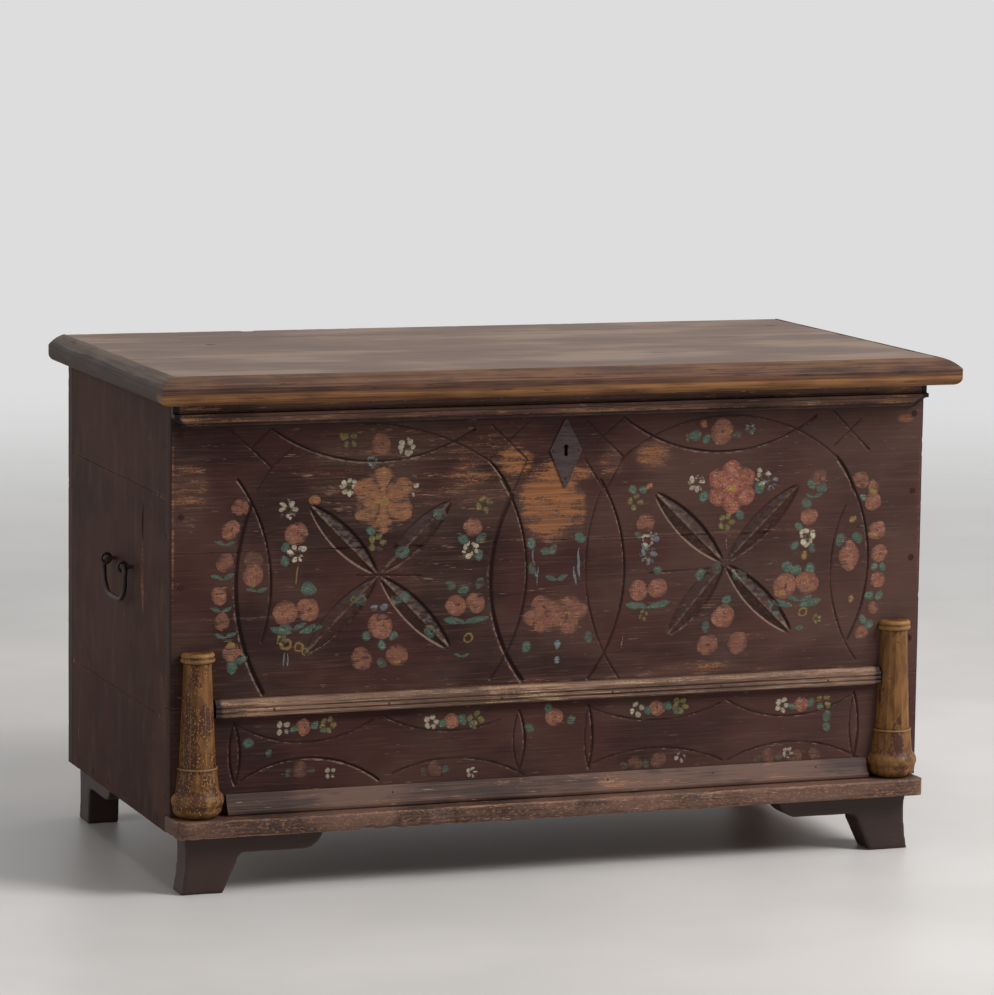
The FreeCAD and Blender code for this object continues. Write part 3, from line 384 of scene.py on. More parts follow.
def folk_flower_oil_paint(tree, colours):
    """Thin daubs of oil colour: their ridges wore off first, so the ground shows in streaks."""
    colour, through, height = front_coat(tree, colours)
    facts = carried(tree)
    scrape = streaks(tree, along("XY", 22, 1.5), 41.0, 3.0)
    crumbs = streaks(tree, (2.4, 2.4, 2.0), 47.0, 1.0)
    hand = streaks(tree, (8, 8, 6), 53.0, 2.0)
    blots = streaks(tree, (17, 17, 14), 57.0, 2.0)
    shade = where(tree, 0.3, 0.72, hand, (crumbs, 0.9, 0.5), (scrape, 0.3, 0.5), (blots, 0.8, 0.5))
    bright = where(tree, 0.56, 0.68, crumbs, (hand, 0.6, 0.5), (blots, 0.4, 0.5))
    wear = (
        (scrape, -1.5, 0.5), (crumbs, -1.1, 0.5), (hand, -1.5, 0.5), (blots, -1.2, 0.5),
        (through, -0.1, 0.0))
    holds = (("bed", (facts["bed_hold"],)), ("tint", (facts["hold"], (facts["edge"], 0.55, 0.45))))
    for tint, hold in holds:
        oil = add(tree, ATTRIBUTE, attribute_name=tint).outputs["Color"]
        body = layered(tree, oil, ("#3A2722", 0.58), (oil, shade), ("#CDAE95", bright, 0.32))
        kept = where(tree, -0.08, 0.62, *hold, *wear)
        colour = layered(tree, colour, (body, kept, 0.9))
    return colour, total(tree, (height, 1.0, 0.0), (kept, 0.4, 0.0)), 0.15, 0.58, 0.18


def brushed_oil_paint_on_pine_ends(tree, colours):
    """The same paint on the ends, browner and drier, with knocks that show grey-brown wood."""
    facts = carried(tree)
    wood = grain_of_pine(tree, "Y", "#5C4030", "#8A684C", 4.0)[0]
    colour, _, height = worn_paint(tree, "Z", "#331E18", colours.side_paint, wood, facts["rub"], 3.0)
    red = where(tree, 0.48, 0.66, streaks(tree, (130, 130, 170), 61.0, 3.0))
    soft = where(tree, 0.5, 0.72, streaks(tree, (30, 30, 90), 65.0, 3.0))
    inside = where(tree, HALF_WIDTH - 9.0 * MM, HALF_WIDTH - 12.0 * MM, sideways(tree))
    # Inside the slit in the left end the colour goes almost black: painted shade.
    colour = layered(
        tree, colour, ("#4A2922", red, 0.4), ("#5A4834", soft, 0.3),
        ("#17100E", where(tree, 0.6, -0.6, facts["cut"])), (planed_bare_wood(tree, "Y"), inside))
    return colour, height, 0.3, 0.66, 0.1


def planed_bare_pine(tree, colours):
    """Planed pine left bare: honey and grey bands, dull with dust, inside and at the back."""
    colour, grain = grain_of_pine(tree, "XY", "#84664A", "#A5825E", 12.0)
    dust_and_highlight = where(tree, 0.42, 0.7, streaks(tree, (140, 140, 110), 71.0, 4.0))
    stains = where(tree, 0.62, 0.74, streaks(tree, (46, 46, 30), 75.0, 2.0))
    seams = where(tree, 0.3, 0.4, carried(tree)["rub"])
    brush = where(tree, 0.4, 0.6, streaks(tree, (3, 3, 60), 77.0))
    paint = layered(tree, "#35251F", (colours.side_paint, brush))
    end = where(tree, HALF_WIDTH - 2.2 * MM, HALF_WIDTH - 1.6 * MM, sideways(tree))
    colour = layered(
        tree, colour, ("#6B5747", dust_and_highlight, 0.5), ("#4A3628", stains, 0.6), ("#241812", seams, 0.75),
        (paint, end))
    return colour, grain, 0.35, 0.72, 0.3


def scoured_pine_lid(tree, colours):
    """Pine that hands and cloths have scoured: long grey-brown streaks, dark pores, paint lost."""
    facts = carried(tree)
    fibres = streaks(tree, (260, 2.2, 2.2), 81.0, 4.0)
    bands = streaks(tree, (420, 11, 11), 85.0, 3.0)
    clouds = streaks(tree, (240, 110, 110), 89.0, 3.0)
    pores = where(tree, 0.62, 0.74, streaks(tree, (110, 1.8, 1.8), 93.0, 2.0))
    grain = where(tree, 0.22, 0.74, (fibres, 0.7, -0.21), (bands, 0.35, 0.5), (clouds, 0.7, 0.5))
    worn = where(tree, 0.46, 0.66, clouds, (bands, 0.3, 0.5))
    bare = layered(tree, "#7A5F47", ("#9A7A59", grain), ("#5E4A3A", worn, 0.4))
    below = where(tree, LID_TOP - 18 * MM, LID_TOP - 20 * MM, coordinate(tree, "Z"))
    # Knots, cracks and seams go nearly black: the knots' own dark wood, and painted shade in the cracks and
    # seams.
    colour = layered(
        tree, "#5A4A42", (colours.lid_top, grain), ("#94806F", worn, 0.4), ("#3A2C27", pores, 0.6),
        ("#1C1412", where(tree, 0.8, -0.8, facts["cut"]), 0.8), ("#96705A", facts["rub"], 0.6),
        (bare, below))
    return colour, total(tree, (fibres, 0.6, 0.0), (bands, 0.4, 0.0)), 0.25, 0.6, 0.25


def knocked_pine_nosing(tree, colours):
    """Lid nosing: rubbed tan bevel, a dark knocked nose and an under-chamfer that is bare in front."""
    nose_top = LID_TOP - 11 * MM
    nose_bottom = nose_top - 14 * MM
    fibres = streaks(tree, along("XY", 130, 1.8), 101.0, 3.0)
    patches = streaks(tree, (80, 80, 20), 105.0, 3.0)
    level = total(
        tree, (coordinate(tree, "Z"), 1.0, 0.0), (fibres, 4 * MM, 0.5), (patches, 6 * MM, 0.5))
    soft = where(tree, 0.3, 0.7, fibres, (patches, 0.7, 0.5))
    in_front = where(tree, FRONT - 30 * MM, FRONT - 45 * MM, coordinate(tree, "Y"))

    def rubbed_wood(dark, light, front_dark, front_light):
        front = layered(tree, front_dark, (front_light, soft))
        return layered(tree, dark, (light, soft), (front, in_front))

    under = rubbed_wood("#38291F", "#38291F", "#5C3B26", "#8A6039")
    nose = rubbed_wood("#2C2320", "#453832", "#38241C", "#664534")
    bevel = rubbed_wood("#4B3E35", "#64554A", "#452F25", "#694933")
    pale = layered(tree, "#8C6645", ("#B8946C", where(tree, 0.5, 0.7, fibres)))
    through = where(tree, 0.8, 1.15, carried(tree)["ridge"], (fibres, 1.8, 0.5), (patches, 1.4, 0.5))
    dark = where(tree, 0.62, 0.72, streaks(tree, along("XY", 40, 5.0), 107.0, 3.0))
    colour = layered(
        tree, under, (nose, where(tree, nose_bottom - 1.5 * MM, nose_bottom + 1 * MM, level)),
        (bevel, where(tree, nose_top - 1.5 * MM, nose_top + 1 * MM, level)),
        ("#1F1512", dark, 0.6), (pale, through, 0.7))
    return colour, fibres, 0.35, 0.6, 0.2


def painted_pine_moulding(tree, colours):
    """The front's paint on a moulding: arrises worn to tan wood in broken, scratchy lines."""
    facts = carried(tree)
    wood = grain_of_pine(tree, "X", "#7A5238", "#B58A66", 6.0)[0]
    left_end = where(tree, -0.5, -0.58, coordinate(tree, "X"))
    rub = total(tree, (facts["ridge"], 0.8, -0.22), (facts["rub"], 1.0, 0.0), (left_end, 0.5, 0.0))
    colour, _, height = worn_paint(tree, "X", "#40291F", "#6C4E42", wood, rub, 5.0, scratched=1.0)
    # Its hollows go nearly black: painted shade.
    colour = layered(tree, colour, ("#1A0F0D", where(tree, -0.2, -0.8, facts["ridge"])))
    return colour, height, 0.3, 0.58, 0.25


def painted_pine_reeding(tree, colours):
    """The middle rail has lost most of its paint: tan reeds, with painted shade in the quirks between."""
    facts = carried(tree)
    wood = grain_of_pine(tree, "X", "#8A674F", "#BE9A78", 7.0)[0]
    rub = total(tree, (facts["ridge"], 0.3, -1.5), (facts["rub"], 0.6, 0.0))
    colour, _, height = worn_paint(tree, "X", "#5A3F32", "#866754", wood, rub, 15.0)
    dark = where(tree, 0.53, 0.66, streaks(tree, (46, 14, 2.6), 18.0, 3.0))
    upper = where(tree, RAIL_TOP - 9 * MM, RAIL_TOP - 5 * MM, coordinate(tree, "Z"))
    # The quirks between the reeds are darkened: painted shade.
    colour = layered(
        tree, colour, ("#3A251C", dark, 0.6), ("#4A3226", upper, 0.42),
        ("#241510", where(tree, -0.45, -1.0, facts["ridge"])))
    return colour, height, 0.3, 0.58, 0.25


def scuffed_pine_skirt(tree, colours):
    """Shelf and skirt that shoes and brooms have scuffed: brown paint with long tan scrapes."""
    facts = carried(tree)
    wood = grain_of_pine(tree, "X", "#6A4636", "#9C7250", 10.0)[0]
    scrapes = where(tree, 0.5, 0.7, streaks(tree, (200, 60, 11), 165.0, 4.0))
    rub = total(tree, (facts["ridge"], 0.5, 0.0), (facts["rub"], 1.0, 0.0), (scrapes, 0.45, 0.0))
    colour, _, height = worn_paint(tree, "X", "#34231E", "#63493E", wood, rub, 25.0, scratched=0.8)
    grime = where(tree, 0.54, 0.72, streaks(tree, (70, 40, 12), 168.0, 4.0))
    shelf = where(tree, SHELF_TOP + 1.0 * MM, SHELF_TOP - 1.0 * MM, coordinate(tree, "Z"))
    crumbs = where(tree, 0.66, 0.84, streaks(tree, (5, 4, 2.6), 171.0, 3.0), (shelf, 0.14, 0.0))
    colour = layered(tree, colour, ("#2E2826", grime, 0.7), ("#A0724E", crumbs, 0.5))
    return colour, height, 0.35, 0.6, 0.25


def ochre_distemper_on_turned_pine(tree, colours):
    """Ochre distemper on turned pine: on the left flaked to dark maroon with flecks of gold."""
    facts = carried(tree)
    long_lumps = streaks(tree, (9, 9, 34), 111.0, 3.0)
    flakes = streaks(tree, (3.4, 3.4, 5.0), 115.0, 3.0)
    gold = streaks(tree, (2.0, 2.0, 3.0), 119.0, 1.0)
    clouds = streaks(tree, (30, 30, 62), 124.0, 2.0)
    lost = total(
        tree, (facts["fleck"], 0.36, 0.0), (flakes, 1.3, 0.5), (clouds, 3.2, 0.5), (long_lumps, 0.8, 0.5))
    border = add(tree, MATH, {0: where(tree, 0.0, 0.3, lost), 1: facts["fleck"]}, operation="MULTIPLY")
    gilt = add(tree, MATH, {0: where(tree, 0.6, 0.7, gold), 1: border}, operation="MULTIPLY")
    # The hollows of the turning are darkened: painted shade.
    colour = layered(
        tree, "#5A3A1C", (colours.column_ochre, where(tree, 0.36, 0.62, long_lumps)),
        ("#41251A", where(tree, 0.14, 0.46, lost)), ("#A97C3E", gilt),
        ("#99703F", where(tree, 0.35, 0.9, facts["ridge"]), 0.6),
        ("#3A2418", where(tree, -0.35, -0.9, facts["ridge"])))
    return colour, total(tree, (lost, -0.6, 0.0), (flakes, 0.3, 0.0)), 0.5, 0.52, 0.22


def maroon_foot_paint(tree, colours):
    """Smooth later coat on the feet: dark maroon brown with rubbed, slightly shiny arrises."""
    facts = carried(tree)
    wood = grain_of_pine(tree, "X", "#5A3A2C", "#86604A", 9.0)[0]
    rub = total(tree, (facts["ridge"], 0.3, 0.0), (facts["rub"], 1.0, 0.0))
    colour, _, height = worn_paint(
        tree, "X", "#2D1E1B", colours.foot_paint, wood, rub, 19.0, scratched=0.08)
    return colour, height, 0.12, 0.5, 0.3


def forged_black_iron(tree, colours):
    """Hand-forged iron, black from the fire, with hammer flats and a bloom of brown rust."""
    hammer = streaks(tree, (11, 11, 9), 131.0, 1.0)
    scale = streaks(tree, (1.7, 1.7, 1.7), 135.0, 3.0)
    bloom = where(tree, 0.5, 0.68, streaks(tree, (14, 14, 14), 139.0, 3.0), (scale, 0.6, 0.5))
    colour = layered(
        tree, "#1B1411", (colours.iron, where(tree, 0.4, 0.62, scale)), ("#47291B", bloom, 0.6))
    return colour, total(tree, (hammer, 1.0, 0.0), (scale, 0.25, 0.0)), 0.5, 0.55, 0.5, 0.4


def painted_iron_plate(tree, colours):
    """Iron keyhole plate under the front's paint; its rim shows rust and a few bright chips."""
    marks = streaks(tree, along("XY", 24, 2.2), 151.0, 3.0)
    chips = streaks(tree, (5, 5, 4), 155.0, 2.0)
    bare = where(tree, 0.42, 0.6, (carried(tree)["ridge"], 0.4, 0.0), (chips, 1.5, 0.5))
    colour = layered(
        tree, "#2E2120", ("#453534", where(tree, 0.36, 0.66, marks)), ("#5E4030", bare, 0.7))
    return colour, marks, 0.15, 0.55, 0.3


def whittled_painted_peg(tree, colours):
    """End grain of whittled pegs, under the same paint as the boards around them."""
    rings = streaks(tree, (2.2, 2.2, 2.2), 161.0, 3.0)
    colour = layered(tree, "#2A1815", ("#432924", where(tree, 0.38, 0.66, rings)))
    return colour, rings, 0.3, 0.68, 0.1


# Mesh work

# Numbers without a pattern, from which hashed makes its scatter
CELL_STEPS = (127.1, 311.7, 74.7)
SEED_STEP = 53.7
SCATTER = 43758.5453


def hashed(cells, seed):
    """A fixed scatter of numbers from 0 to 1, one for each whole-number cell."""
    mixed = cells @ np.array(CELL_STEPS) + seed * SEED_STEP
    return np.modf(np.abs(np.sin(mixed) * SCATTER))[0]


def lumps(points, size, seed=0):
    """Smooth noise from -1 to 1 whose lumps measure size millimetres along each axis."""
    grid = points / (np.array(size, float) * MM)
    cell = np.floor(grid)
    share = grid - cell
    share = share * share * (3 - 2 * share)
    value = 0.0
    for corner in itertools.product((0, 1), repeat=3):
        weight = np.prod(np.where(corner, share, 1 - share), axis=1)
        value = value + weight * hashed(cell + corner, seed)
    return 2 * value - 1


def rise(value, low, high):
    """0 below low, 1 above high and a smooth slope between."""
    share = np.clip((value - low) / (high - low), 0, 1)
    return share * share * (3 - 2 * share)


def coordinates(mesh, of="co"):
    """A mesh's points, or another vector that each of them holds, as an array."""
    flat = np.empty(len(mesh.vertices) * 3)
    mesh.vertices.foreach_get(of, flat)
    return flat.reshape(-1, 3)


def neighbour_means(mesh, points):
    """Mean place of each point's neighbours."""
    ends = np.empty(len(mesh.edges) * 2, int)
    mesh.edges.foreach_get("vertices", ends)
    first, second = ends.reshape(-1, 2).T
    count = len(points)
    sums = [
        np.bincount(first, column[second], count) + np.bincount(second, column[first], count)
        for column in points.T]
    return np.stack(sums, axis=1) / np.bincount(ends, minlength=count)[:, None]


def move_points(mesh, points):
    """Put a mesh's points in new places."""
    mesh.vertices.foreach_set("co", points.ravel())
    mesh.update()


def linked(name, data):
    """New object with this data in the scene's collection."""
    made = bpy.data.objects.new(name, data)
    bpy.context.collection.objects.link(made)
    return made


def welded(meshes, gap=0.01 * MM):
    """One bmesh of all the meshes, in which points closer than gap are one."""
    shell = bmesh.new()
    for mesh in meshes:
        shell.from_mesh(mesh)
    bmesh.ops.remove_doubles(shell, verts=shell.verts, dist=gap)
    return shell


def baked(shell, name):
    """Mesh of a bmesh, which itself goes."""
    mesh = bpy.data.meshes.new(name)
    shell.to_mesh(mesh)
    shell.free()
    return mesh


def ridges(mesh, proud):
    """How each point stands out: -1 in a hollow to 1 on an arris that is proud millimetres high."""
    points = coordinates(mesh)
    out = ((points - neighbour_means(mesh, points)) * coordinates(mesh, "normal")).sum(1)
    eased = neighbour_means(mesh, out[:, None])[:, 0]
    return np.clip((out + eased) / 2 / (proud * MM), -1, 1)


def finish_piece(name, mesh, material, facts=None):
    """Object at the origin from a closed mesh: smooth, outward, each fact a number at each point."""
    shell = bmesh.new()
    shell.from_mesh(mesh)
    if shell.calc_volume(signed=True) < 0:
        bmesh.ops.reverse_faces(shell, faces=shell.faces)
        shell.to_mesh(mesh)
    shell.free()
    mesh.shade_smooth()
    mesh.materials.clear()
    mesh.materials.append(material)
    for key, values in (facts or {}).items():
        store = mesh.attributes.get(key) or mesh.attributes.new(key, "FLOAT", "POINT")
        store.data.foreach_set("value", np.asarray(values, np.float32))
    mesh.name = name
    return linked(name, mesh)


def plain_mesh(points, faces):
    """Mesh from arrays or lists of points and faces."""
    mesh = bpy.data.meshes.new("raw")
    mesh.from_pydata(np.asarray(points).tolist(), [], faces)
    mesh.update()
    return mesh


def settled(piece):
    """Plain mesh of an object with its modifiers applied; the object itself goes."""
    graph = bpy.context.evaluated_depsgraph_get()
    mesh = bpy.data.meshes.new_from_object(
        piece.evaluated_get(graph), preserve_all_data_layers=True, depsgraph=graph)
    bpy.data.objects.remove(piece)
    return mesh


def squares(key):
    """Faces between the neighbours of a grid of point numbers."""
    return np.stack([key[:-1, :-1], key[1:, :-1], key[1:, 1:], key[:-1, 1:]], axis=-1).reshape(-1, 4)


def stand_for(piece, *nodes):
    """The piece takes the place of these nodes, which are hidden, and rides on their body."""
    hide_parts(*nodes)
    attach(piece, frame["nodes"][nodes[0]]["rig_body"])
    return piece


# Grid lines near a board's edges, in millimetres from the edge, and the same for its thin side
RIM = (0.0, 0.5, 1.1, 1.9, 3.0, 4.5, 6.5, 9.0)
THIN_RIM = (0.0, 0.6, 1.6, 4.0)
THIN = 30 * MM


def lines(low, high, pitch, rim=RIM, extra=()):
    """Grid lines from low to high: close together at the ends, then pitch apart."""
    rim = np.array(rim) * MM
    count = max(1, round((high - low - 2 * rim[-1]) / pitch))
    middle = np.linspace(low + rim[-1], high - rim[-1], count + 1)
    return np.unique(np.round(np.concatenate([low + rim, middle, high - rim, np.array(extra, float)]), 6))


def lattice_box(grid, plain_back=False):
    """Points and outward faces of a closed box of grids; its far Y face may be one plain face."""
    counts = [len(axis) for axis in grid]
    quads, loop = [], np.empty(0, int)
    for axis in range(3):
        first, second = (axis + 1) % 3, (axis + 2) % 3
        rows, columns = np.meshgrid(np.arange(counts[first]), np.arange(counts[second]), indexing="ij")
        for end in (0, counts[axis] - 1):
            index = [None] * 3
            index[axis], index[first], index[second] = np.full_like(rows, end), rows, columns
            key = (index[0] * counts[1] + index[1]) * counts[2] + index[2]
            if plain_back and axis == 1 and end:
                loop = np.concatenate([key[:-1, 0], key[-1, :-1], key[:0:-1, -1], key[0, :0:-1]])
                continue
            quads.append(squares(key) if end else squares(key)[:, ::-1])
    quads = np.concatenate(quads)
    used, compact = np.unique(np.concatenate([quads.ravel(), loop]), return_inverse=True)
    places = np.unravel_index(used, counts)
    points = np.stack([line[place] for line, place in zip(grid, places)], axis=1)
    faces = compact[:quads.size].reshape(-1, 4).tolist()
    if len(loop):
        faces.append(compact[quads.size:].tolist())
    return points, faces


# Depth of a hand plane's marks, and their size along, across and through the board in millimetres
PLANE_MARK = 0.5 * MM
PLANE_LONG, PLANE_WIDE, PLANE_THROUGH = 260.0, 34.0, 60.0
# Size in millimetres of the lumps by which an edge is worn, and of the chips in it
EDGE_LUMP, CHIP_LUMP = 38, 11


def worn_box(points, low, high, radius, chip, seed):
    """Round the box's edges to a radius, and by up to chip more where they were knocked."""
    uneven = 1 + 0.45 * lumps(points, (EDGE_LUMP,) * 3, seed)
    knocked = rise(lumps(points, (CHIP_LUMP,) * 3, seed + 7), 0.35, 0.8)
    reach = (radius * uneven + chip * knocked)[:, None]
    inner = np.clip(points, np.array(low) + reach, np.array(high) - reach)
    away = points - inner
    length = np.linalg.norm(away, axis=1, keepdims=True)
    return inner + away * np.where(length > reach, reach / np.maximum(length, 1e-9), 1.0)


def planed(points, low, high, seed):
    """Sink a board's two broad faces unevenly, as a hand plane does."""
    span = np.array(high) - np.array(low)
    thin = int(np.argmin(span))
    reach = np.full(3, PLANE_LONG)
    reach[int(np.argsort(span)[1])] = PLANE_WIDE
    reach[thin] = PLANE_THROUGH
    sunk = PLANE_MARK * (0.5 + 0.5 * lumps(points, reach, seed))
    near_low = points[:, thin] < low[thin] + 1.5 * MM
    near_high = points[:, thin] > high[thin] - 1.5 * MM
    points[:, thin] += sunk * near_low - sunk * near_high
    return points


def board(name, material, sizes, seed, marks=None, extra=((), (), ()), grid=None, radius=None, chip=None):
    """A planed board in its node's place, its edges worn; marks moves its points and adds facts."""
    low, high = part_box(name)
    lattice = [
        lines(start, end, grid or sizes.board_grid, THIN_RIM if end - start < THIN else RIM, more)
        for start, end, more in zip(low, high, extra)]
    flat, faces = lattice_box(lattice)
    points = worn_box(flat, low, high, radius or sizes.edge_wear, chip or sizes.edge_chips, seed)
    points = planed(points, low, high, seed + 3)
    spread = np.sort(np.minimum(flat - np.array(low), np.array(high) - flat), axis=1)[:, 1]
    facts = {"rub": 0.42 * rise(spread, 5 * MM, 0.6 * MM), "cut": np.full(len(flat), UNCUT)}
    if marks:
        points = marks(points, flat, facts)
    return stand_for(finish_piece(f"worn_{name}", plain_mesh(points, faces), material, facts), name)


def beside(x, z, start, end):
    """Length of a run, and how far ahead of its start and how far to its left each place lies."""
    run_x, run_z = end[0] - start[0], end[1] - start[1]
    length = math.hypot(run_x, run_z)
    ahead = ((x - start[0]) * run_x + (z - start[1]) * run_z) / length
    aside = ((z - start[1]) * run_x - (x - start[0]) * run_z) / length
    return length, ahead, aside


def to_arc(x, z, start, end, rise_mm):
    """Distance in millimetres from each place to the arc with these ends and this rise."""
    chord, ahead, aside = beside(x, z, start, end)
    on_arc = (ahead > 0) & (ahead < chord)
    if rise_mm == 0:
        reach = np.abs(aside)
    else:
        radius = (chord ** 2 / 4 + rise_mm ** 2) / (2 * abs(rise_mm))
        centre = math.copysign(radius - abs(rise_mm), -rise_mm)
        reach = np.abs(np.hypot(ahead - chord / 2, aside - centre) - radius)
        on_arc &= (aside - centre) * rise_mm > 0
    to_ends = np.minimum(np.hypot(x - start[0], z - start[1]), np.hypot(x - end[0], z - end[1]))
    return np.where(on_arc, reach, to_ends)


def carving(x, z):
    """Carved depth and the edges of cuts and leaves, all in millimetres, at places of the front."""
    depth, rib = np.zeros_like(x), np.zeros_like(x)
    cut, leaf = np.full_like(x, UNCUT), np.full_like(x, -UNCUT)
    wander = 0.2 * np.sin(x / 9 + z / 13) + 0.2 * np.sin(x / 23 - z / 17)
    for (half, deep), arcs in ARCS.items():
        for x0, z0, x1, z1, rise_mm in arcs:
            away = to_arc(x, z, (x0, z0), (x1, z1), rise_mm) + wander
            depth = np.maximum(depth, deep * np.clip(1 - away / half, 0, 1))
            cut = np.minimum(cut, away - half)
    for heart, tips in ROSETTES:
        for tip in tips:
            length, ahead, aside = beside(x, z, heart, tip)
            aside = np.abs(aside)
            radius = (length ** 2 / 4 + LEAF_HALF_WIDTH ** 2) / (2 * LEAF_HALF_WIDTH)
            bow = np.sqrt(np.maximum(radius ** 2 - (ahead - length / 2) ** 2, 0))
            half = bow - (radius - LEAF_HALF_WIDTH)
            inner = np.where((ahead > 0) & (ahead < length), half - aside, -UNCUT)
            share = np.clip(aside / np.maximum(half, 0.1), 0, 1)
            run_in = rise(half, 0.5, LEAF_RUN_IN)
            blade = (LEAF_BLADE + LEAF_SLOPE * share) * run_in - LEAF_RIB * rise(aside, 1.6, 0.2)
            wall = LEAF_WALL * run_in * np.clip(1 + inner / 1.3, 0, 1)
            depth = np.maximum(depth, np.where(inner > 0, blade, wall))
            leaf = np.maximum(leaf, inner)
            cut = np.minimum(cut, np.where(half > 2, np.abs(inner) - 1.1, UNCUT))
            vein = np.where((ahead > 6) & (ahead < length - 8), aside, UNCUT)
            rib = np.maximum(rib, rise(vein, 2.6, 0.8))
    return depth, np.clip(cut, INMOST, UNCUT), np.clip(leaf, -UNCUT, 20), rib


def rubbed(x, z):
    """How much of the front's paint hands and knocks have rubbed away, from 0 to 1."""
    worn = np.zeros_like(x)
    for cx, cz, half_x, half_z, amount in RUBBED:
        reach = np.sqrt(((x - cx) / half_x) ** 2 + ((z - cz) / half_z) ** 2)
        worn = np.maximum(worn, amount * rise(reach, 1.35, 0.55))
    return worn


def front_facts(x, z):
    """Depth and facts of the front at these places in millimetres."""
    depth, cut, leaf, rib = carving(x, z)
    # lit: how the carving deepens towards the upper right, where the lamp stands; the front's paint takes
    # its painted light and shade from it.
    lit = carving(x + 0.8, z + 1.4)[0] - carving(x - 0.8, z - 1.4)[0]
    return depth, {"rub": rubbed(x, z), "cut": cut, "leaf": leaf, "ridge": rib, "lit": lit}


# The hole behind the keyhole plate
KEYHOLE_HALF = 4.6 * MM
KEYHOLE_LOW, KEYHOLE_HIGH = 630 * MM, 649.5 * MM
KEYHOLE_DEPTH = 17 * MM
# How far apart the rows of a front board's mesh are where it is hidden, and how close they may come
PLAIN_ROWS = 12 * MM
CLOSEST_ROWS = 0.35 * MM
# Each front board's columns, rows and carved Y, which front_board fills and front_surface reads
FRONT_SHEETS = []


def front_board(name, shown, material, sizes, seed):
    """A front board, finely meshed on the shown height for its carving, with a plain back."""
    low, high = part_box(name)
    fine = lines(max(low.z, shown[0]), min(high.z, shown[1]), sizes.carving_grid, (0.0,))
    rows = np.unique(np.concatenate([lines(low.z, high.z, PLAIN_ROWS), fine]))
    gap = np.concatenate([[1.0], np.diff(rows)])
    rows = rows[(gap > CLOSEST_ROWS) | np.isin(rows, (rows[0], rows[-1]))]
    columns = lines(low.x, high.x, sizes.carving_grid)
    depths = np.concatenate([low.y + np.array(THIN_RIM) * MM, high.y - np.array((1.0, 0)) * MM])
    flat, faces = lattice_box([columns, depths, rows], plain_back=True)
    points = worn_box(flat, low, high, sizes.edge_wear * 0.8, sizes.edge_chips, seed)
    face = flat[:, 1] < FRONT + 0.1 * MM
    depth, facts = front_facts(flat[:, 0] / MM, flat[:, 2] / MM)
    uneven = 0.25 + 0.10 * lumps(points, (150, 150, 2.4), 5) + 0.15 * lumps(points, (260, 260, 40), 6)
    points[:, 1] += np.where(face, np.maximum(depth + uneven, 0), 0) * MM
    FRONT_SHEETS.append((columns, rows, points[face, 1].reshape(len(columns), len(rows))))
    plate_low, plate_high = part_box("keyhole_plate")
    across = np.abs(flat[:, 0] - (plate_low.x + plate_high.x) / 2)
    hole = face & (across < KEYHOLE_HALF) & (flat[:, 2] > KEYHOLE_LOW) & (flat[:, 2] < KEYHOLE_HIGH)
    points[hole, 1] += KEYHOLE_DEPTH
    facts["cut"][hole] = INMOST
    for key, hidden in (("cut", UNCUT), ("leaf", -UNCUT), ("lit", 0.0), ("rub", 0.4 * facts["rub"])):
        facts[key] = np.where(face, facts[key], hidden)
    return stand_for(finish_piece(f"carved_{name}", plain_mesh(points, faces), material, facts), name)


def front_surface(x, z):
    """Y of the carved front at these places, between the points of the boards' own grids."""
    result = np.full(len(x), float(FRONT))
    for columns, rows, sheet in FRONT_SHEETS:
        on = (z >= rows[0]) & (z <= rows[-1])
        left = np.clip(np.searchsorted(columns, x[on]) - 1, 0, len(columns) - 2)
        below = np.clip(np.searchsorted(rows, z[on]) - 1, 0, len(rows) - 2)
        right = np.clip((x[on] - columns[left]) / (columns[left + 1] - columns[left]), 0, 1)
        up = np.clip((z[on] - rows[below]) / (rows[below + 1] - rows[below]), 0, 1)
        result[on] = sum(
            sheet[left + i, below + j] * (right if i else 1 - right) * (up if j else 1 - up)
            for i, j in itertools.product((0, 1), repeat=2))
    return result


# Geometry Nodes trees

def new_tree(name, sockets):
    """Geometry tree with named inputs, its input node and its output node."""
    tree = bpy.data.node_groups.new(name, "GeometryNodeTree")
    tree.interface.new_socket("Geometry", in_out="INPUT", socket_type="NodeSocketGeometry")
    for label, kind in sockets:
        tree.interface.new_socket(label, in_out="INPUT", socket_type=kind)
    tree.interface.new_socket("Geometry", in_out="OUTPUT", socket_type="NodeSocketGeometry")
    return tree, add(tree, "NodeGroupInput").outputs


def close_tree(tree, geometry, given):
    """End a tree in Realize Instances and Set Material."""
    real = add(tree, "GeometryNodeRealizeInstances", {"Geometry": geometry})
    painted = add(tree, "GeometryNodeSetMaterial", {"Geometry": real, "Material": given["Finish"]})
    add(tree, "NodeGroupOutput", {"Geometry": painted})


def run_tree(tree, mesh, values):
    """Plain mesh that a geometry tree makes from a mesh and the values of its named inputs."""
    carrier = linked(tree.name, mesh)
    modifier = carrier.modifiers.new(tree.name, "NODES")
    modifier.node_group = tree
    for item in tree.interface.items_tree:
        if item.in_out == "INPUT" and item.name in values:
            modifier[item.identifier] = values[item.name]
    return settled(carrier)


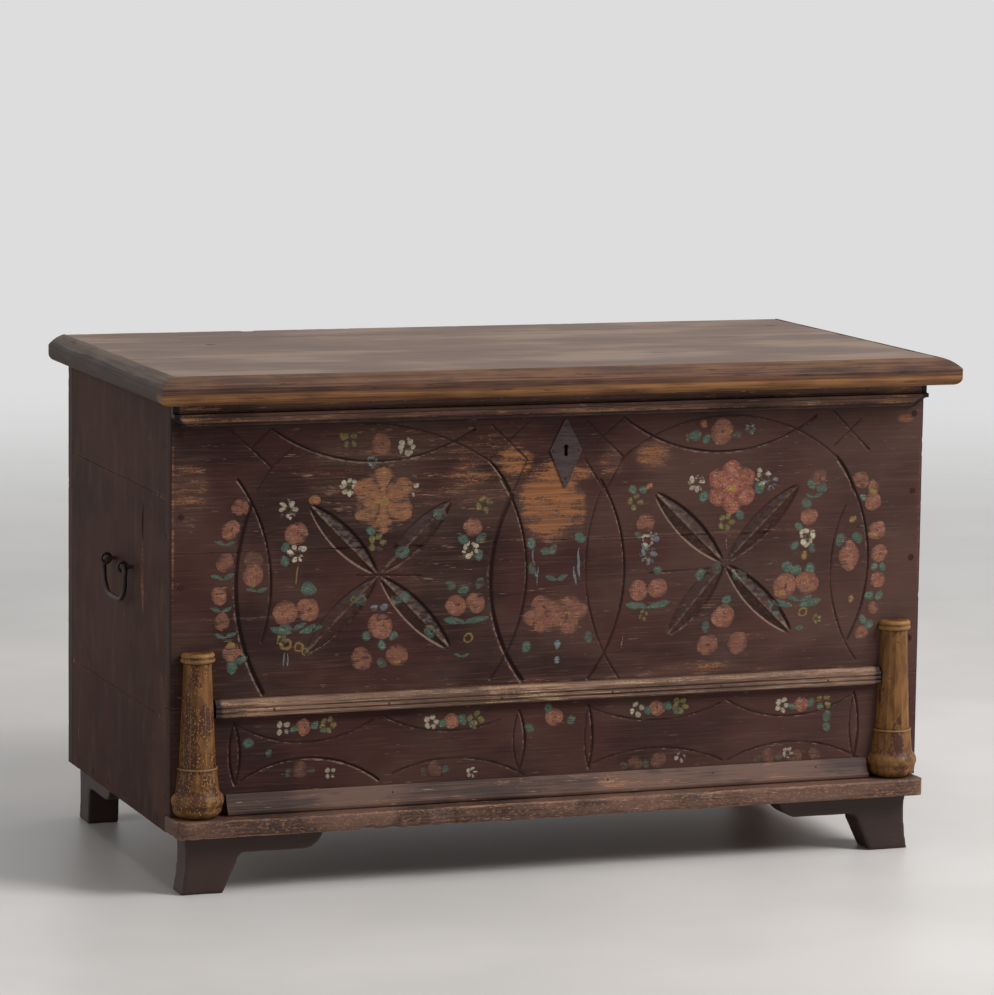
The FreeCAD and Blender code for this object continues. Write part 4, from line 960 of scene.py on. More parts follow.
def moulding_tree():
    """A profile carried along a straight run in rings, its surface made slightly uneven."""
    found = bpy.data.node_groups.get("moulding_run")
    if found:
        return found
    tree, given = new_tree("moulding_run", (
        ("Profile", "NodeSocketObject"), ("Start", "NodeSocketVector"), ("End", "NodeSocketVector"),
        ("Ring Spacing", "NodeSocketFloat"), ("Wear", "NodeSocketFloat"), ("Seed", "NodeSocketFloat"),
        ("Finish", "NodeSocketMaterial")))
    run = add(tree, "GeometryNodeCurvePrimitiveLine", {"Start": given["Start"], "End": given["End"]})
    rings = add(tree, "GeometryNodeResampleCurve", {
        "Curve": run, "Length": given["Ring Spacing"]}, mode="LENGTH")
    profile = add(tree, "GeometryNodeObjectInfo", {"Object": given["Profile"]})
    swept = add(tree, "GeometryNodeCurveToMesh", {
        "Curve": rings, "Profile Curve": profile.outputs["Geometry"], "Fill Caps": True})
    place = add(tree, "ShaderNodeVectorMath", {
        0: add(tree, "GeometryNodeInputPosition"), 1: (9.0, 9.0, 70.0)}, operation="MULTIPLY")
    moved = add(tree, "ShaderNodeVectorMath", {0: place, 1: given["Seed"]}, operation="ADD")
    waves = add(tree, NOISE, {"Vector": moved, "Scale": 1.0, "Detail": 3.0})
    sunk = add(tree, MATH, {0: waves, 1: 0.75}, operation="SUBTRACT")
    reach = add(tree, MATH, {0: sunk, 1: given["Wear"]}, operation="MULTIPLY")
    inward = add(tree, "ShaderNodeVectorMath", {
        0: add(tree, "GeometryNodeInputNormal"), "Scale": reach}, operation="SCALE")
    worn = add(tree, "GeometryNodeSetPosition", {"Geometry": swept, "Offset": inward})
    close_tree(tree, worn, given)
    return tree


def stroke_tree():
    """Brush strokes from a collection, one set down at each painted point."""
    tree, given = new_tree("brush_strokes", (
        ("Strokes", "NodeSocketCollection"), ("Finish", "NodeSocketMaterial")))
    shapes = add(tree, "GeometryNodeCollectionInfo", {
        "Collection": given["Strokes"], "Separate Children": True, "Reset Children": True})
    kind, size, turn = (
        add(tree, "GeometryNodeInputNamedAttribute", {"Name": name}, data_type=data_type)
        for name, data_type in (("kind", "INT"), ("size", "FLOAT_VECTOR"), ("turn", "FLOAT_VECTOR")))
    laid = add(tree, "GeometryNodeInstanceOnPoints", {
        "Points": given["Geometry"], "Instance": shapes, "Pick Instance": True, "Instance Index": kind,
        "Rotation": turn, "Scale": size})
    close_tree(tree, laid, given)
    return tree


def section(node, axis, at):
    """Outline of a CAD node where a plane cuts it square to an axis, in its two other coordinates."""
    cut = welded([frame["nodes"][node].data])
    normal = Vector([float(index == axis) for index in range(3)])
    found = bmesh.ops.bisect_plane(
        cut, geom=cut.verts[:] + cut.edges[:] + cut.faces[:], plane_co=normal * at, plane_no=normal,
        clear_inner=True, clear_outer=True)
    edges = [item for item in found["geom_cut"] if isinstance(item, bmesh.types.BMEdge)]
    links = {}
    for edge in edges:
        for vert in edge.verts:
            links.setdefault(vert, []).append(edge.other_vert(vert))
    loop = [edges[0].verts[0], links[edges[0].verts[0]][0]]
    while True:
        following = [vert for vert in links[loop[-1]] if vert is not loop[-2]]
        if not following or following[0] is loop[0] or len(loop) > len(links):
            break
        loop.append(following[0])
    outline = np.array([[vert.co[index] for index in range(3) if index != axis] for vert in loop])
    cut.free()
    return outline


def evenly(outline, spacing, ease, closed=True):
    """Points spaced evenly along an outline, its corners eased by as many passes as ease says."""
    if closed:
        outline = np.vstack([outline, outline[:1]])
    reach = np.concatenate([[0], np.cumsum(np.linalg.norm(np.diff(outline, axis=0), axis=1))])
    count = max(8, int(round(reach[-1] / spacing)))
    stops = np.linspace(0, reach[-1], count + 1)[:count if closed else count + 1]
    even = np.stack([np.interp(stops, reach, outline[:, axis]) for axis in range(2)], axis=1)
    for _ in range(ease):
        before, after = np.roll(even, 1, axis=0), np.roll(even, -1, axis=0)
        eased = even / 2 + (before + after) / 4
        if not closed:
            eased[[0, -1]] = even[[0, -1]]
        even = eased
    return even


def moulding(name, axis, at, material, sizes, seed, ends=None):
    """A worn run of moulding: its node's own section swept by Geometry Nodes, its ends then shaped."""
    low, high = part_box(name)
    outline = evenly(section(name, axis, at), 0.9 * MM, 1)
    turned = -outline if axis == 0 else outline * (1, -1)
    curve = bpy.data.curves.new(f"{name}_profile", "CURVE")
    curve.dimensions = "2D"
    spline = curve.splines.new("POLY")
    spline.points.add(len(turned) - 1)
    flat_weighted = np.column_stack([turned, np.zeros(len(turned)), np.ones(len(turned))])
    spline.points.foreach_set("co", flat_weighted.ravel())
    spline.use_cyclic_u = True
    profile = linked(f"{name}_profile", curve)
    start, end = Vector(), Vector()
    start[axis], end[axis] = low[axis], high[axis]
    mesh = run_tree(moulding_tree(), bpy.data.meshes.new(name), {
        "Profile": profile, "Start": tuple(start), "End": tuple(end), "Ring Spacing": sizes.moulding_rings,
        "Wear": sizes.moulding_wear, "Seed": float(seed), "Finish": material})
    bpy.data.objects.remove(profile)
    points = coordinates(mesh)
    if ends:
        points = ends(points)
    points = np.clip(points, np.array(low), np.array(high))
    move_points(mesh, points)
    facts = {"ridge": ridges(mesh, 0.10), "rub": 0.5 * rise(lumps(points, (90, 90, 60), seed), 0.35, 0.9)}
    return stand_for(finish_piece(f"worn_{name}", mesh, material, facts), name)


def drawn_in(points, limit):
    """Move the last stretch of a run along X so that it ends at the limit given for each point."""
    away = points[:, 0]
    share = np.clip((np.abs(away) - (limit.max() - MITRE_REACH)) / MITRE_REACH, 0, 1)
    points[:, 0] = np.sign(away) * (np.abs(away) - share * (limit.max() - limit))
    return points


def softened(name, material, voxel, uneven, lump, proud, node):
    """Worn copy of a CAD node: merged, remeshed, eased and made uneven inside its own box."""
    carrier = linked(name, baked(welded([frame["nodes"][node].data]), name))
    remesh = carrier.modifiers.new("even_skin", "REMESH")
    remesh.mode, remesh.voxel_size = "VOXEL", voxel
    mesh = settled(carrier)
    points = coordinates(mesh)
    points = points / 2 + neighbour_means(mesh, points) / 2
    move_points(mesh, points)
    wander = uneven * MM * (lumps(points, (lump,) * 3, len(name)) - 0.6) / 1.6
    points = points + coordinates(mesh, "normal") * wander[:, None]
    move_points(mesh, np.clip(points, *(np.array(corner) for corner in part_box(node))))
    facts = {"ridge": ridges(mesh, proud), "rub": np.zeros(len(points))}
    return stand_for(finish_piece(name, mesh, material, facts), node)


# Flowers: brush strokes as (kind, X, Z, turn in degrees, half length, half width, colour, hold), and
# where one lies on another also the colour and hold of that
DAB, LEAF, PETAL, RING = range(4)
BLOOM = 1.14
NO_BED = (DEEP, -4.0)
# Strokes lie one above another in as many coats, so that no two that cross share a height
COATS = 9


def off(place, out, angle):
    """The place at this distance and angle from another."""
    return place[0] + out * math.cos(angle), place[1] + out * math.sin(angle)


def single(kind, first_turn, turn_step, width):
    """Motif of one stroke, turned a step further at each place of its row."""
    def motif(place, size, tint, hold, seed):
        return [(kind, *place, first_turn + seed * turn_step, size, size * width, tint, hold)]
    return motif


disc = single(DAB, 0.0, 37.0, 0.93)


def rose(place, size, tint, hold, seed):
    """Round rose: a loose disc, a paler and a redder wash over it and a small heart."""
    x, z = place
    strokes = [(DAB, x, z, seed * 41.0, size, size * 0.94, tint, hold)]
    for index, colour in enumerate((ORANGE, RED, PINK)):
        angle = seed * 2.1 + 2.1 * index
        strokes.append((DAB, *off(place, 0.36 * size, angle), math.degrees(angle), size * 0.5, size * 0.42,
                        colour, hold - 0.34 - 0.05 * index, tint, hold))
    strokes.append((DAB, x + size * 0.1, z, seed * 70.0, size * 0.24, size * 0.17,
                    DEEP, hold - 0.2, tint, hold))
    if seed % 3 == 1:
        strokes.append((DAB, x - size * 0.2, z - size * 0.5, 0.0, size * 0.3, size * 0.2,
                        YELLOW, hold - 0.2, tint, hold))
    return strokes


def long_rose(place, size, tint, hold, seed):
    """Rose drawn upright, with a yellow or orange foot."""
    x, z = place
    marks = (
        (PETAL, -0.4, 0.4, 70.0, 0.6, 0.25, PINK, 0.6), (PETAL, 0.42, 0.0, 250.0, 0.6, 0.22, DEEP, 0.6),
        (DAB, 0.0, -0.75, 0.0, 0.45, 0.3, YELLOW, 0.75))
    return [(DAB, x, z, 90.0, size * 1.3, size * 0.95, tint, hold)] + [
        (kind, x + size * dx, z + size * dz, turn, size * length, size * width,
         colour, hold * share, tint, hold)
        for kind, dx, dz, turn, length, width, colour, share in marks]


def twin_rose(place, size, tint, hold, seed):
    """Two roses side by side over a row of leaves."""
    x, z = place
    strokes = rose((x - size * 0.9, z - size * 0.12), size, tint, hold, seed)
    strokes += rose((x + size * 0.9, z + size * 0.06), size * 0.96, tint, hold, seed + 3)
    return strokes + [
        (LEAF, x + side * size * 1.2, z - size * 1.45, side * 12.0, size * 0.95, size * 0.34, TEAL, hold)
        for side in (-1, 1)]


def star(place, size, tint, hold, seed):
    """Small flower: a ring of uneven pale dabs about a greenish heart."""
    strokes = [(RING, *place, 0.0, size * 0.42, size * 0.4, "#6B6F45", hold * 0.55)]
    for index in range(8):
        chance = math.sin(index * 2.3 + seed * 1.7)
        out = size * (0.72 + 0.1 * math.sin(index * 4.1 + seed))
        angle = math.radians(seed * 23.0 + 45 * index + 9 * chance)
        strokes.append((DAB, *off(place, out, angle), index * 50.0, size * (0.32 + 0.07 * chance),
                        size * (0.27 + 0.05 * chance), tint, hold - 0.05 + 0.28 * chance))
    return strokes


def posy(place, size, tint, hold, seed):
    """Large flower of six broad petals with a yellow heart."""
    strokes = [(DAB, *place, 0.0, size * 0.7, size * 0.7, tint, hold)]
    for index in range(6):
        angle = math.radians(90 + 60 * index + seed)
        turn = math.degrees(angle)
        strokes += [
            (DAB, *off(place, 0.58 * size, angle), turn, size * 0.43, size * 0.41, tint,
             hold + 0.07 * math.sin(index * 2.1)),
            (DAB, *off(place, 0.6 * size, angle), turn + 50, size * 0.3, size * 0.2,
             (PINK, ORANGE)[index % 2], hold - 0.4, tint, hold),
            (DAB, *off(place, 0.34 * size, angle + 0.5), 0.0, size * 0.07, size * 0.07, DEEP, hold * 0.8,
             tint, hold)]
    strokes.append((DAB, place[0] - size * 0.06, place[1] - size * 0.1, 30.0, size * 0.25, size * 0.23,
                    YELLOW, hold * 0.9, tint, hold))
    return strokes


def cluster(place, size, tint, hold, seed):
    """Four or five round dabs that just touch."""
    count = 4 + seed % 2
    return [
        (DAB, *off(place, 0.62 * size, math.radians(seed * 31.0 + 45 + 360 / count * index)),
         seed * 17.0 + 40 * index, size * 0.38, size * 0.35, tint, hold + 0.12 * math.sin(index * 1.7))
        for index in range(count)]


def bud(place, size, tint, hold, seed):
    """Round leaf, every other one with a paler ring in it."""
    turn = seed * 53.0
    strokes = [(DAB, *place, turn, size, size * 0.9, tint, hold)]
    if seed % 2:
        strokes.append((RING, *place, turn, size * 0.7, size * 0.6, "#6A927D", hold - 0.22, tint, hold))
    return strokes


def leaf_pair(place, size, tint, hold, seed):
    """Two leaves spread from one foot."""
    x, z = place
    return [
        (LEAF, x + side * size * 0.9, z, 90.0 - side * 70.0, size, size * 0.42, tint, hold)
        for side in (-1, 1)]


hoop = single(RING, 0.0, 19.0, 0.9)


def stem(place, size, tint, hold, seed):
    """Short stalk, nearly upright."""
    return [(PETAL, *place, 84.0 + seed % 3 * 8, size, size * 0.16, tint, hold)]


PAINTED = (
    (posy, "#AE7650", 0.68, ((-275, 574, 44),)), (posy, RED, 0.98, ((283, 575, 36),)),
    (rose, ROSE, 0.86, (
        (-409, 529, 16), (-509, 538, 14), (-475, 470, 15), (-278, 386, 18), (-135, 529, 13),
        (272, 376, 17), (265, 661, 18), (-527, 441, 12), (-506, 356, 14), (412, 525, 13),
        (526, 500, 14), (531, 464, 13), (529, 422, 12), (-1, 235, 13), (518, 545, 13))),
    (rose, ROSE, 0.7, (
        (-494, 571, 13), (-518, 490, 13), (-522, 403, 12), (-306, 338, 16), (-251, 341, 16),
        (247, 334, 16), (296, 334, 16), (-279, 658, 15), (497, 579, 13), (142, 525, 14),
        (504, 341, 10), (523, 379, 9), (-22, 404, 17), (22, 402, 17), (-20, 380, 16), (20, 378, 16),
        (0, 392, 18), (-38, 388, 13), (36, 396, 13))),
    (rose, FADED, 0.62, (
        (-475, 492, 13), (427, 584, 13), (-401, 176, 12), (-190, 166, 11), (132, 157, 11),
        (170, 160, 12), (397, 152, 12), (352, 156, 11), (429, 155, 9))),
    (long_rose, ROSE, 0.9, ((480, 462, 16),)), (long_rose, ROSE, 0.7, ((518, 566, 9),)),
    (twin_rose, ROSE, 0.88, ((-408, 414, 17), (392, 422, 18), (148, 424, 15))),
    (twin_rose, ROSE, 0.82, ((-144, 414, 15),)),
    (star, WHITE, 0.98, (
        (-239, 652, 12), (-408, 500, 12), (-328, 595, 12), (-138, 496, 12), (409, 494, 13))),
    (star, WHITE, 0.7, (
        (-422, 565, 13), (-232, 589, 11), (224, 583, 12), (334, 589, 12), (147, 499, 10))),
    (star, BLUE, 0.66, (
        (312, 664, 8), (347, 580, 10), (147, 476, 13), (155, 505, 7), (-292, 632, 8))),
    (cluster, LIME, 0.72, (
        (-327, 665, 12), (-284, 511, 14), (-117, 563, 13), (274, 522, 13), (125, 558, 12),
        (-431, 372, 9), (212, 654, 7), (-319, 427, 5), (141, 384, 8), (429, 366, 8))),
    (disc, YELLOW, 0.75, (
        (-508, 368, 6), (486, 519, 6), (484, 395, 5), (-475, 458, 6), (518, 560, 6), (-252, 330, 5),
        (-306, 330, 5), (405, 466, 6), (-339, 670, 5), (433, 585, 5))),
    (disc, ORANGE, 0.9, ((-381, 579, 8), (148, 580, 5), (235, 673, 6))),
    (bud, TEAL, 0.85, (
        (-390, 446, 11), (-426, 510, 7), (-426, 489, 7), (-294, 529, 7), (-243, 496, 10), (-41, 501, 8),
        (37, 506, 8), (221, 656, 9), (240, 650, 7), (120, 576, 7), (138, 575, 6), (237, 563, 8),
        (328, 572, 9), (377, 449, 9), (392, 443, 8), (414, 444, 9), (297, 532, 7), (515, 399, 7),
        (533, 398, 7), (506, 361, 7), (516, 354, 7), (523, 443, 6), (536, 442, 6), (502, 551, 6),
        (-186, 550, 9), (-308, 426, 9), (-200, 374, 9), (299, 439, 11), (-258, 370, 7), (-275, 357, 7),
        (163, 452, 7), (-491, 346, 8), (-506, 335, 9))),
    (bud, TEAL, 0.66, (
        (-19, 488, 7), (-6, 491, 7), (-39, 463, 8), (-149, 511, 8), (-121, 512, 8), (-124, 486, 8),
        (-168, 443, 8), (-148, 435, 8), (-123, 444, 8), (415, 575, 8), (432, 569, 8), (389, 482, 7),
        (418, 476, 7), (395, 510, 7), (258, 449, 10), (233, 442, 9), (358, 383, 9), (-252, 424, 9),
        (-238, 428, 8), (-299, 372, 7), (-275, 330, 7), (277, 402, 8), (243, 362, 8), (133, 507, 7),
        (290, 655, 6), (465, 487, 10), (493, 489, 9), (-481, 221, 8), (-450, 204, 6), (-10, 249, 7),
        (-39, 220, 7), (27, 229, 7), (449, 213, 8), (448, 196, 7), (399, 353, 6), (-47, 344, 8),
        (52, 355, 8), (407, 546, 8))),
    (leaf_pair, TEAL, 0.72, (
        (-517, 519, 8), (-521, 469, 9), (-523, 421, 8), (-517, 382, 8), (-469, 448, 8), (-413, 391, 10),
        (399, 399, 10), (148, 399, 11), (-144, 389, 10), (0, 447, 9), (-149, 336, 6), (419, 557, 7))),
    (disc, BLUE, 0.8, (
        (-288, 415, 5), (-272, 414, 5), (3, 345, 6), (3, 322, 5), (141, 490, 5), (160, 500, 5))),
    (stem, BLUE, 0.75, (
        (-427, 342, 10), (-421, 341, 9), (-35, 470, 18), (-29, 452, 12), (36, 470, 18), (30, 450, 12))),
    (stem, PINK, 0.6, ((-408, 468, 11), (276, 494, 11), (146, 466, 9), (108, 344, 9))),
    (hoop, YELLOW, 0.6, ((-425, 366, 9), (-404, 360, 8), (-140, 362, 8), (405, 378, 8), (-395, 352, 6))),
)


def lower_posies():
    """Strokes of the lower register: four hanging posies, and what is left of four rising ones."""
    strokes = []
    for seed, (x, z) in enumerate(((-394, 242), (-162, 239), (168, 242), (407, 236))):
        strokes += cluster((x - 34, z - 2), 13, WHITE, 0.82, seed)
        strokes += rose((x - 2, z - 2), 13, ROSE, 0.95, seed + 2)
        strokes += bud((x - 17, z - 5), 7, TEAL, 0.8, seed) + bud((x + 15, z), 8, TEAL, 0.85, seed + 1)
        strokes += cluster((x + 36, z), 14, LIME, 0.85, seed + 3)
        strokes += bud((x + 30, z - 8), 6, GREEN, 0.8, seed)
    rising = ((-401, 176, -354, 169), (-190, 166, -132, 158), (132, 157, 206, 162), (352, 156, 384, 160))
    for seed, (x, z, pale_x, pale_z) in enumerate(rising):
        strokes += cluster((pale_x, pale_z), 10, WHITE, 0.66, seed)
        strokes += bud((x + 17, z - 2), 7, TEAL, 0.5, seed) + bud((x - 18, z - 3), 7, GREEN, 0.5, seed + 1)
    return strokes


# Section of a brush stroke from one edge to the other and back beneath: how far out each rail runs,
# its height, domed towards -Y, and how thick the paint is there
STROKE_SECTION = (
    (1, 0.0, 0.0), (0.55, -0.8, 0.7), (0, -1.0, 1.0), (-0.55, -0.8, 0.7), (-1, 0.0, 0.0), (-1, 2.5, 0.0),
    (1, 2.5, 0.0))


def ribbon(spine, widths, closed=False):
    """Mesh of a brush stroke along a spine, with how thick its paint is at each point."""
    spine, widths = np.array(spine, float), np.array(widths, float)[:, None]
    ahead = np.roll(spine, -1, axis=0) - np.roll(spine, 1, axis=0) if closed else np.gradient(spine, axis=0)
    ahead /= np.linalg.norm(ahead, axis=1, keepdims=True)
    aside = np.column_stack([-ahead[:, 1], ahead[:, 0]])
    rows, rails = len(spine), len(STROKE_SECTION)
    points, faces = [], []
    for out, height, _ in STROKE_SECTION:
        rail = spine + aside * widths * out
        points.append(np.column_stack([rail[:, 0], np.full(rows, height), rail[:, 1]]))
    for row in range(rows if closed else rows - 1):
        after = (row + 1) % rows
        for rail in range(rails):
            this, other = rail * rows, (rail + 1) % rails * rows
            faces.append((this + row, this + after, other + after, other + row))
    if not closed:
        faces.append(tuple(rail * rows for rail in range(rails)))
        faces.append(tuple(rail * rows + rows - 1 for rail in reversed(range(rails))))
    mesh = plain_mesh(np.concatenate(points), faces)
    thickness = np.repeat([thick for _, _, thick in STROKE_SECTION], rows)
    mesh.attributes.new("edge", "FLOAT", "POINT").data.foreach_set("value", thickness.astype(np.float32))
    return mesh


def stroke_shapes(holder):
    """Closed brush strokes, two units long, in a collection in the order of their kinds."""
    swing = np.linspace(0, math.pi, 9)
    arch = np.sin(swing)
    straight = np.column_stack([-np.cos(swing), np.zeros(9)])
    bent = np.column_stack([-np.cos(swing), 0.5 * arch - 0.25])
    turn = np.linspace(0, 2 * math.pi, 15)[:-1]
    shapes = (
        ribbon(straight, np.maximum(arch, 0.06)),
        ribbon(straight, np.maximum(arch ** 1.4, 0.04)),
        ribbon(bent, np.maximum(arch * np.linspace(1.25, 0.45, 9), 0.05)),
        ribbon(np.column_stack([0.74 * np.cos(turn), 0.74 * np.sin(turn)]), np.full(14, 0.26), True),
    )
    for kind, mesh in enumerate(shapes):
        holder.objects.link(bpy.data.objects.new(f"stroke_{kind}", mesh))


class CHEST_OT_front_boards(bpy.types.Operator):
    """Carve, paint and rub the three boards of the front"""
    bl_idname = "chest.front_boards"
    bl_label = "Front Boards"

    def execute(self, context):
        sizes, colours = context.scene.chest_sizes, context.scene.chest_colours
        paint = finish(brushed_oil_paint_on_pine, colours)
        rail_low, rail_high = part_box("mid_rail")
        skirt_top, cornice_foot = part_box("base_moulding")[1].z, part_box("cornice")[0].z
        FRONT_SHEETS.clear()
        front_board("front_board_lower", (skirt_top - 2 * MM, rail_low.z + MM), paint, sizes, 1)
        front_board("front_board_middle", (rail_high.z - MM, 1.0), paint, sizes, 2)
        front_board("front_board_upper", (0.0, cornice_foot + MM), paint, sizes, 3)
        return {"FINISHED"}


class CHEST_OT_flowers(bpy.types.Operator):
    """Paint the flowers stroke by stroke and lay them on the carved front"""
    bl_idname = "chest.flowers"
    bl_label = "Flowers"

    def execute(self, context):
        sizes, colours = context.scene.chest_sizes, context.scene.chest_colours
        if not FRONT_SHEETS:
            raise RuntimeError("the front boards come before the flowers")
        strokes = [
            stroke for motif, tint, hold, places in PAINTED for seed, (x, z, size) in enumerate(places)
            for stroke in motif((x, z), size * BLOOM, tint, hold, seed)] + lower_posies()
        lift = sizes.paint_lift
        paint = finish(folk_flower_oil_paint, colours)
        shapes = bpy.data.collections.new("stroke_shapes")
        stroke_shapes(shapes)
        mesh = run_tree(stroke_tree(), self.dots(strokes, lift), {"Strokes": shapes, "Finish": paint})
        for shape in list(shapes.objects):
            bpy.data.objects.remove(shape)
        bpy.data.collections.remove(shapes)
        points = coordinates(mesh)
        level = points[:, 1].copy()
        points[:, 1] = 0
        for axis, seed in ((0, 1), (2, 3)):
            points[:, axis] += 1.3 * MM * lumps(points, (9, 9, 9), seed) + 0.5 * MM * lumps(
                points, (3.5, 9, 3.5), seed + 1)
        coats = np.empty(len(points))
        mesh.attributes["coat"].data.foreach_get("value", coats)
        facts = front_facts(points[:, 0] / MM, points[:, 2] / MM)[1]
        points[:, 1] = front_surface(points[:, 0], points[:, 2]) + level - lift * (0.6 + 0.35 * coats)
        move_points(mesh, points)
        piece = finish_piece("painted_flowers", mesh, paint, facts)
        mesh.set_sharp_from_angle(angle=math.radians(12))
        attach(piece, "root")
        return {"FINISHED"}

    def dots(self, strokes, lift):
        """A point for each stroke, with all that the stroke is made of."""
        kinds, xs, zs, turns, lengths, widths, tints, holds, beds, bed_holds = zip(
            *(stroke + NO_BED if len(stroke) == 8 else stroke for stroke in strokes))
        count = len(strokes)
        none = np.zeros(count)
        mesh = plain_mesh(np.column_stack([xs, none, zs]) * MM, [])
        for key, kind, field, values in (
                ("kind", "INT", "value", np.array(kinds, np.int32)),
                ("turn", "FLOAT_VECTOR", "vector", np.column_stack([none, -np.radians(turns), none])),
                ("size", "FLOAT_VECTOR", "vector",
                 np.column_stack([lengths, none + lift / MM, widths]) * MM),
                ("tint", "FLOAT_COLOR", "color", np.array([linear(tint) for tint in tints])),
                ("bed", "FLOAT_COLOR", "color", np.array([linear(tint) for tint in beds])),
                ("hold", "FLOAT", "value", np.array(holds) - 0.5),
                ("bed_hold", "FLOAT", "value", np.array(bed_holds) - 0.3),
                ("coat", "FLOAT", "value", np.arange(count) % COATS * 1.0)):
            mesh.attributes.new(key, kind, "POINT").data.foreach_set(field, values.ravel())
        return mesh


# The slit in the left end: millimetres back from the front face, up from the floor, half length
SLIT_DEEP, SLIT_HIGH, SLIT_HALF = 153, 526, 40
# The bare patch below it, and the seams between the end boards
PATCH_DEEP, PATCH_HIGH = 154, 452
END_SEAMS = (585.1, 257)
END_GRID = 4.5 * MM


def end_marks(points, flat, facts):
    """The left end's slit, its bare sides, and knocks shared by both ends."""
    deep, z = (flat[:, 1] - FRONT) / MM, flat[:, 2] / MM
    left = flat[:, 0] < -HALF_WIDTH + 0.1 * MM
    away = np.abs(deep - SLIT_DEEP - 1.2 * np.sin(z / 9))
    off_middle = np.abs(z - SLIT_HIGH)
    half = 3.6 * np.clip(1 - off_middle / SLIT_HALF, 0, 1)
    split = np.where(half > 0, away - half, np.hypot(away, off_middle - SLIT_HALF))
    points[:, 0] += np.where(left, 9 * np.clip(-split / 1.6, 0, 1), 0) * MM
    facts["cut"] = np.where(left, np.clip(split, INMOST, UNCUT), UNCUT)
    bare = 0.7 * rise(np.hypot((deep - PATCH_DEEP) / 12, (z - PATCH_HIGH) / 74), 1.2, 0.4)
    seam = np.abs(z[:, None] - END_SEAMS).min(axis=1)
    chipped = 0.5 * rise(seam, 5, 1.5) * rise(np.abs(deep - 296), 150, 250)
    facts["rub"] = np.maximum(facts["rub"] * 0.7, np.maximum(np.where(left, bare, 0), chipped))
    return points


class CHEST_OT_end_boards(bpy.types.Operator):
    """Plane, paint and wear the three boards of each end"""
    bl_idname = "chest.end_boards"
    bl_label = "End Boards"

    def execute(self, context):
        sizes, colours = context.scene.chest_sizes, context.scene.chest_colours
        paint = finish(brushed_oil_paint_on_pine_ends, colours)
        near = np.array((0, 1, 2, 3.5, 5, 7, 10, 14))
        slit = FRONT + (SLIT_DEEP + np.concatenate([-near[:0:-1], near])) * MM
        boards = itertools.product(("left", "right"), ("lower", "middle", "upper"))
        for seed, (side, height) in enumerate(boards):
            extra = ((), slit if (side, height) == ("left", "middle") else (), ())
            board(f"side_board_{side}_{height}", paint, sizes, 20 + seed, end_marks, extra, END_GRID)
        return {"FINISHED"}


# Radius of the shelf board's front corners in plan, and how high and deep its lower edge is gouged
SHELF_CORNER = 18 * MM
GOUGE_UP, GOUGE_IN = 4.2 * MM, 2.4 * MM


def shelf_shape(points, flat, facts):
    """Draw the base board in behind the front, and round its two front corners in plan."""
    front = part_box("base_board")[0].y
    tuck = rise(flat[:, 1], INSIDE - 0.6 * MM, INSIDE + 0.2 * MM)
    points[:, 0] *= 1 - tuck * WALL / HALF_WIDTH
    corner = SHELF_CORNER
    inner = np.column_stack([np.clip(points[:, 0], corner - HALF_WIDTH, HALF_WIDTH - corner),
                             np.maximum(points[:, 1], front + corner)])
    away = points[:, :2] - inner
    length = np.linalg.norm(away, axis=1, keepdims=True)
    near_corner = (np.abs(points[:, 0]) > HALF_WIDTH - corner) & (points[:, 1] < front + corner)
    rounded = inner + away * np.minimum(1, corner / np.maximum(length, 1e-9))
    points[near_corner, :2] = rounded[near_corner]
    outer = flat[:, 1] < FRONT - 1 * MM
    gouge = rise(lumps(points, (22, 22, 60), 44), 0.25, 0.8) * outer
    low_edge = rise(flat[:, 2], 101 * MM, 88 * MM)
    points[:, 2] += GOUGE_UP * gouge * low_edge
    points[:, 1] += GOUGE_IN * gouge * rise(flat[:, 1], front + 8 * MM, front)
    scuffed = np.maximum(facts["rub"] * 1.3, (0.25 + 0.4 * low_edge) * gouge)
    facts["rub"] = np.where(outer, scuffed, facts["rub"])
    facts["ridge"] = np.zeros(len(points))
    return points


class CHEST_OT_base_boards(bpy.types.Operator):
    """Make the scuffed shelf board and the bare back and bottom boards"""
    bl_idname = "chest.base_boards"
    bl_label = "Shelf, Back and Bottom"

    def execute(self, context):
        sizes, colours = context.scene.chest_sizes, context.scene.chest_colours
        edge = INSIDE + np.array((-1.2, -0.6, -0.2, 0.2)) * MM
        board("base_board", finish(scuffed_pine_skirt, colours), sizes, 40, shelf_shape, ((), edge, ()),
              grid=4 * MM, radius=5 * MM, chip=4 * MM)
        names = ("back_board_lower", "back_board_middle", "back_board_upper", "bottom_board_middle",
                 "bottom_board_rear")
        for seed, name in enumerate(names):
            board(name, finish(planed_bare_pine, colours), sizes, 50 + seed, grid=8 * MM)
        return {"FINISHED"}


# Knots and cracks of the lid: X, Y back from the front face, half length along the grain, half width
LID_FLAWS = (
    (-425, 393, 9, 6), (-405, 548, 60, 0.9), (554, 489, 8, 5), (-330, 95, 90, 0.6), (210, 130, 120, 0.5),
    (430, 330, 70, 0.6), (60, 395, 110, 0.5),
)
# The chip in the lid's rear edge: where along X, how deep
CHIP_X, CHIP_DEEP = -309, 10 * MM


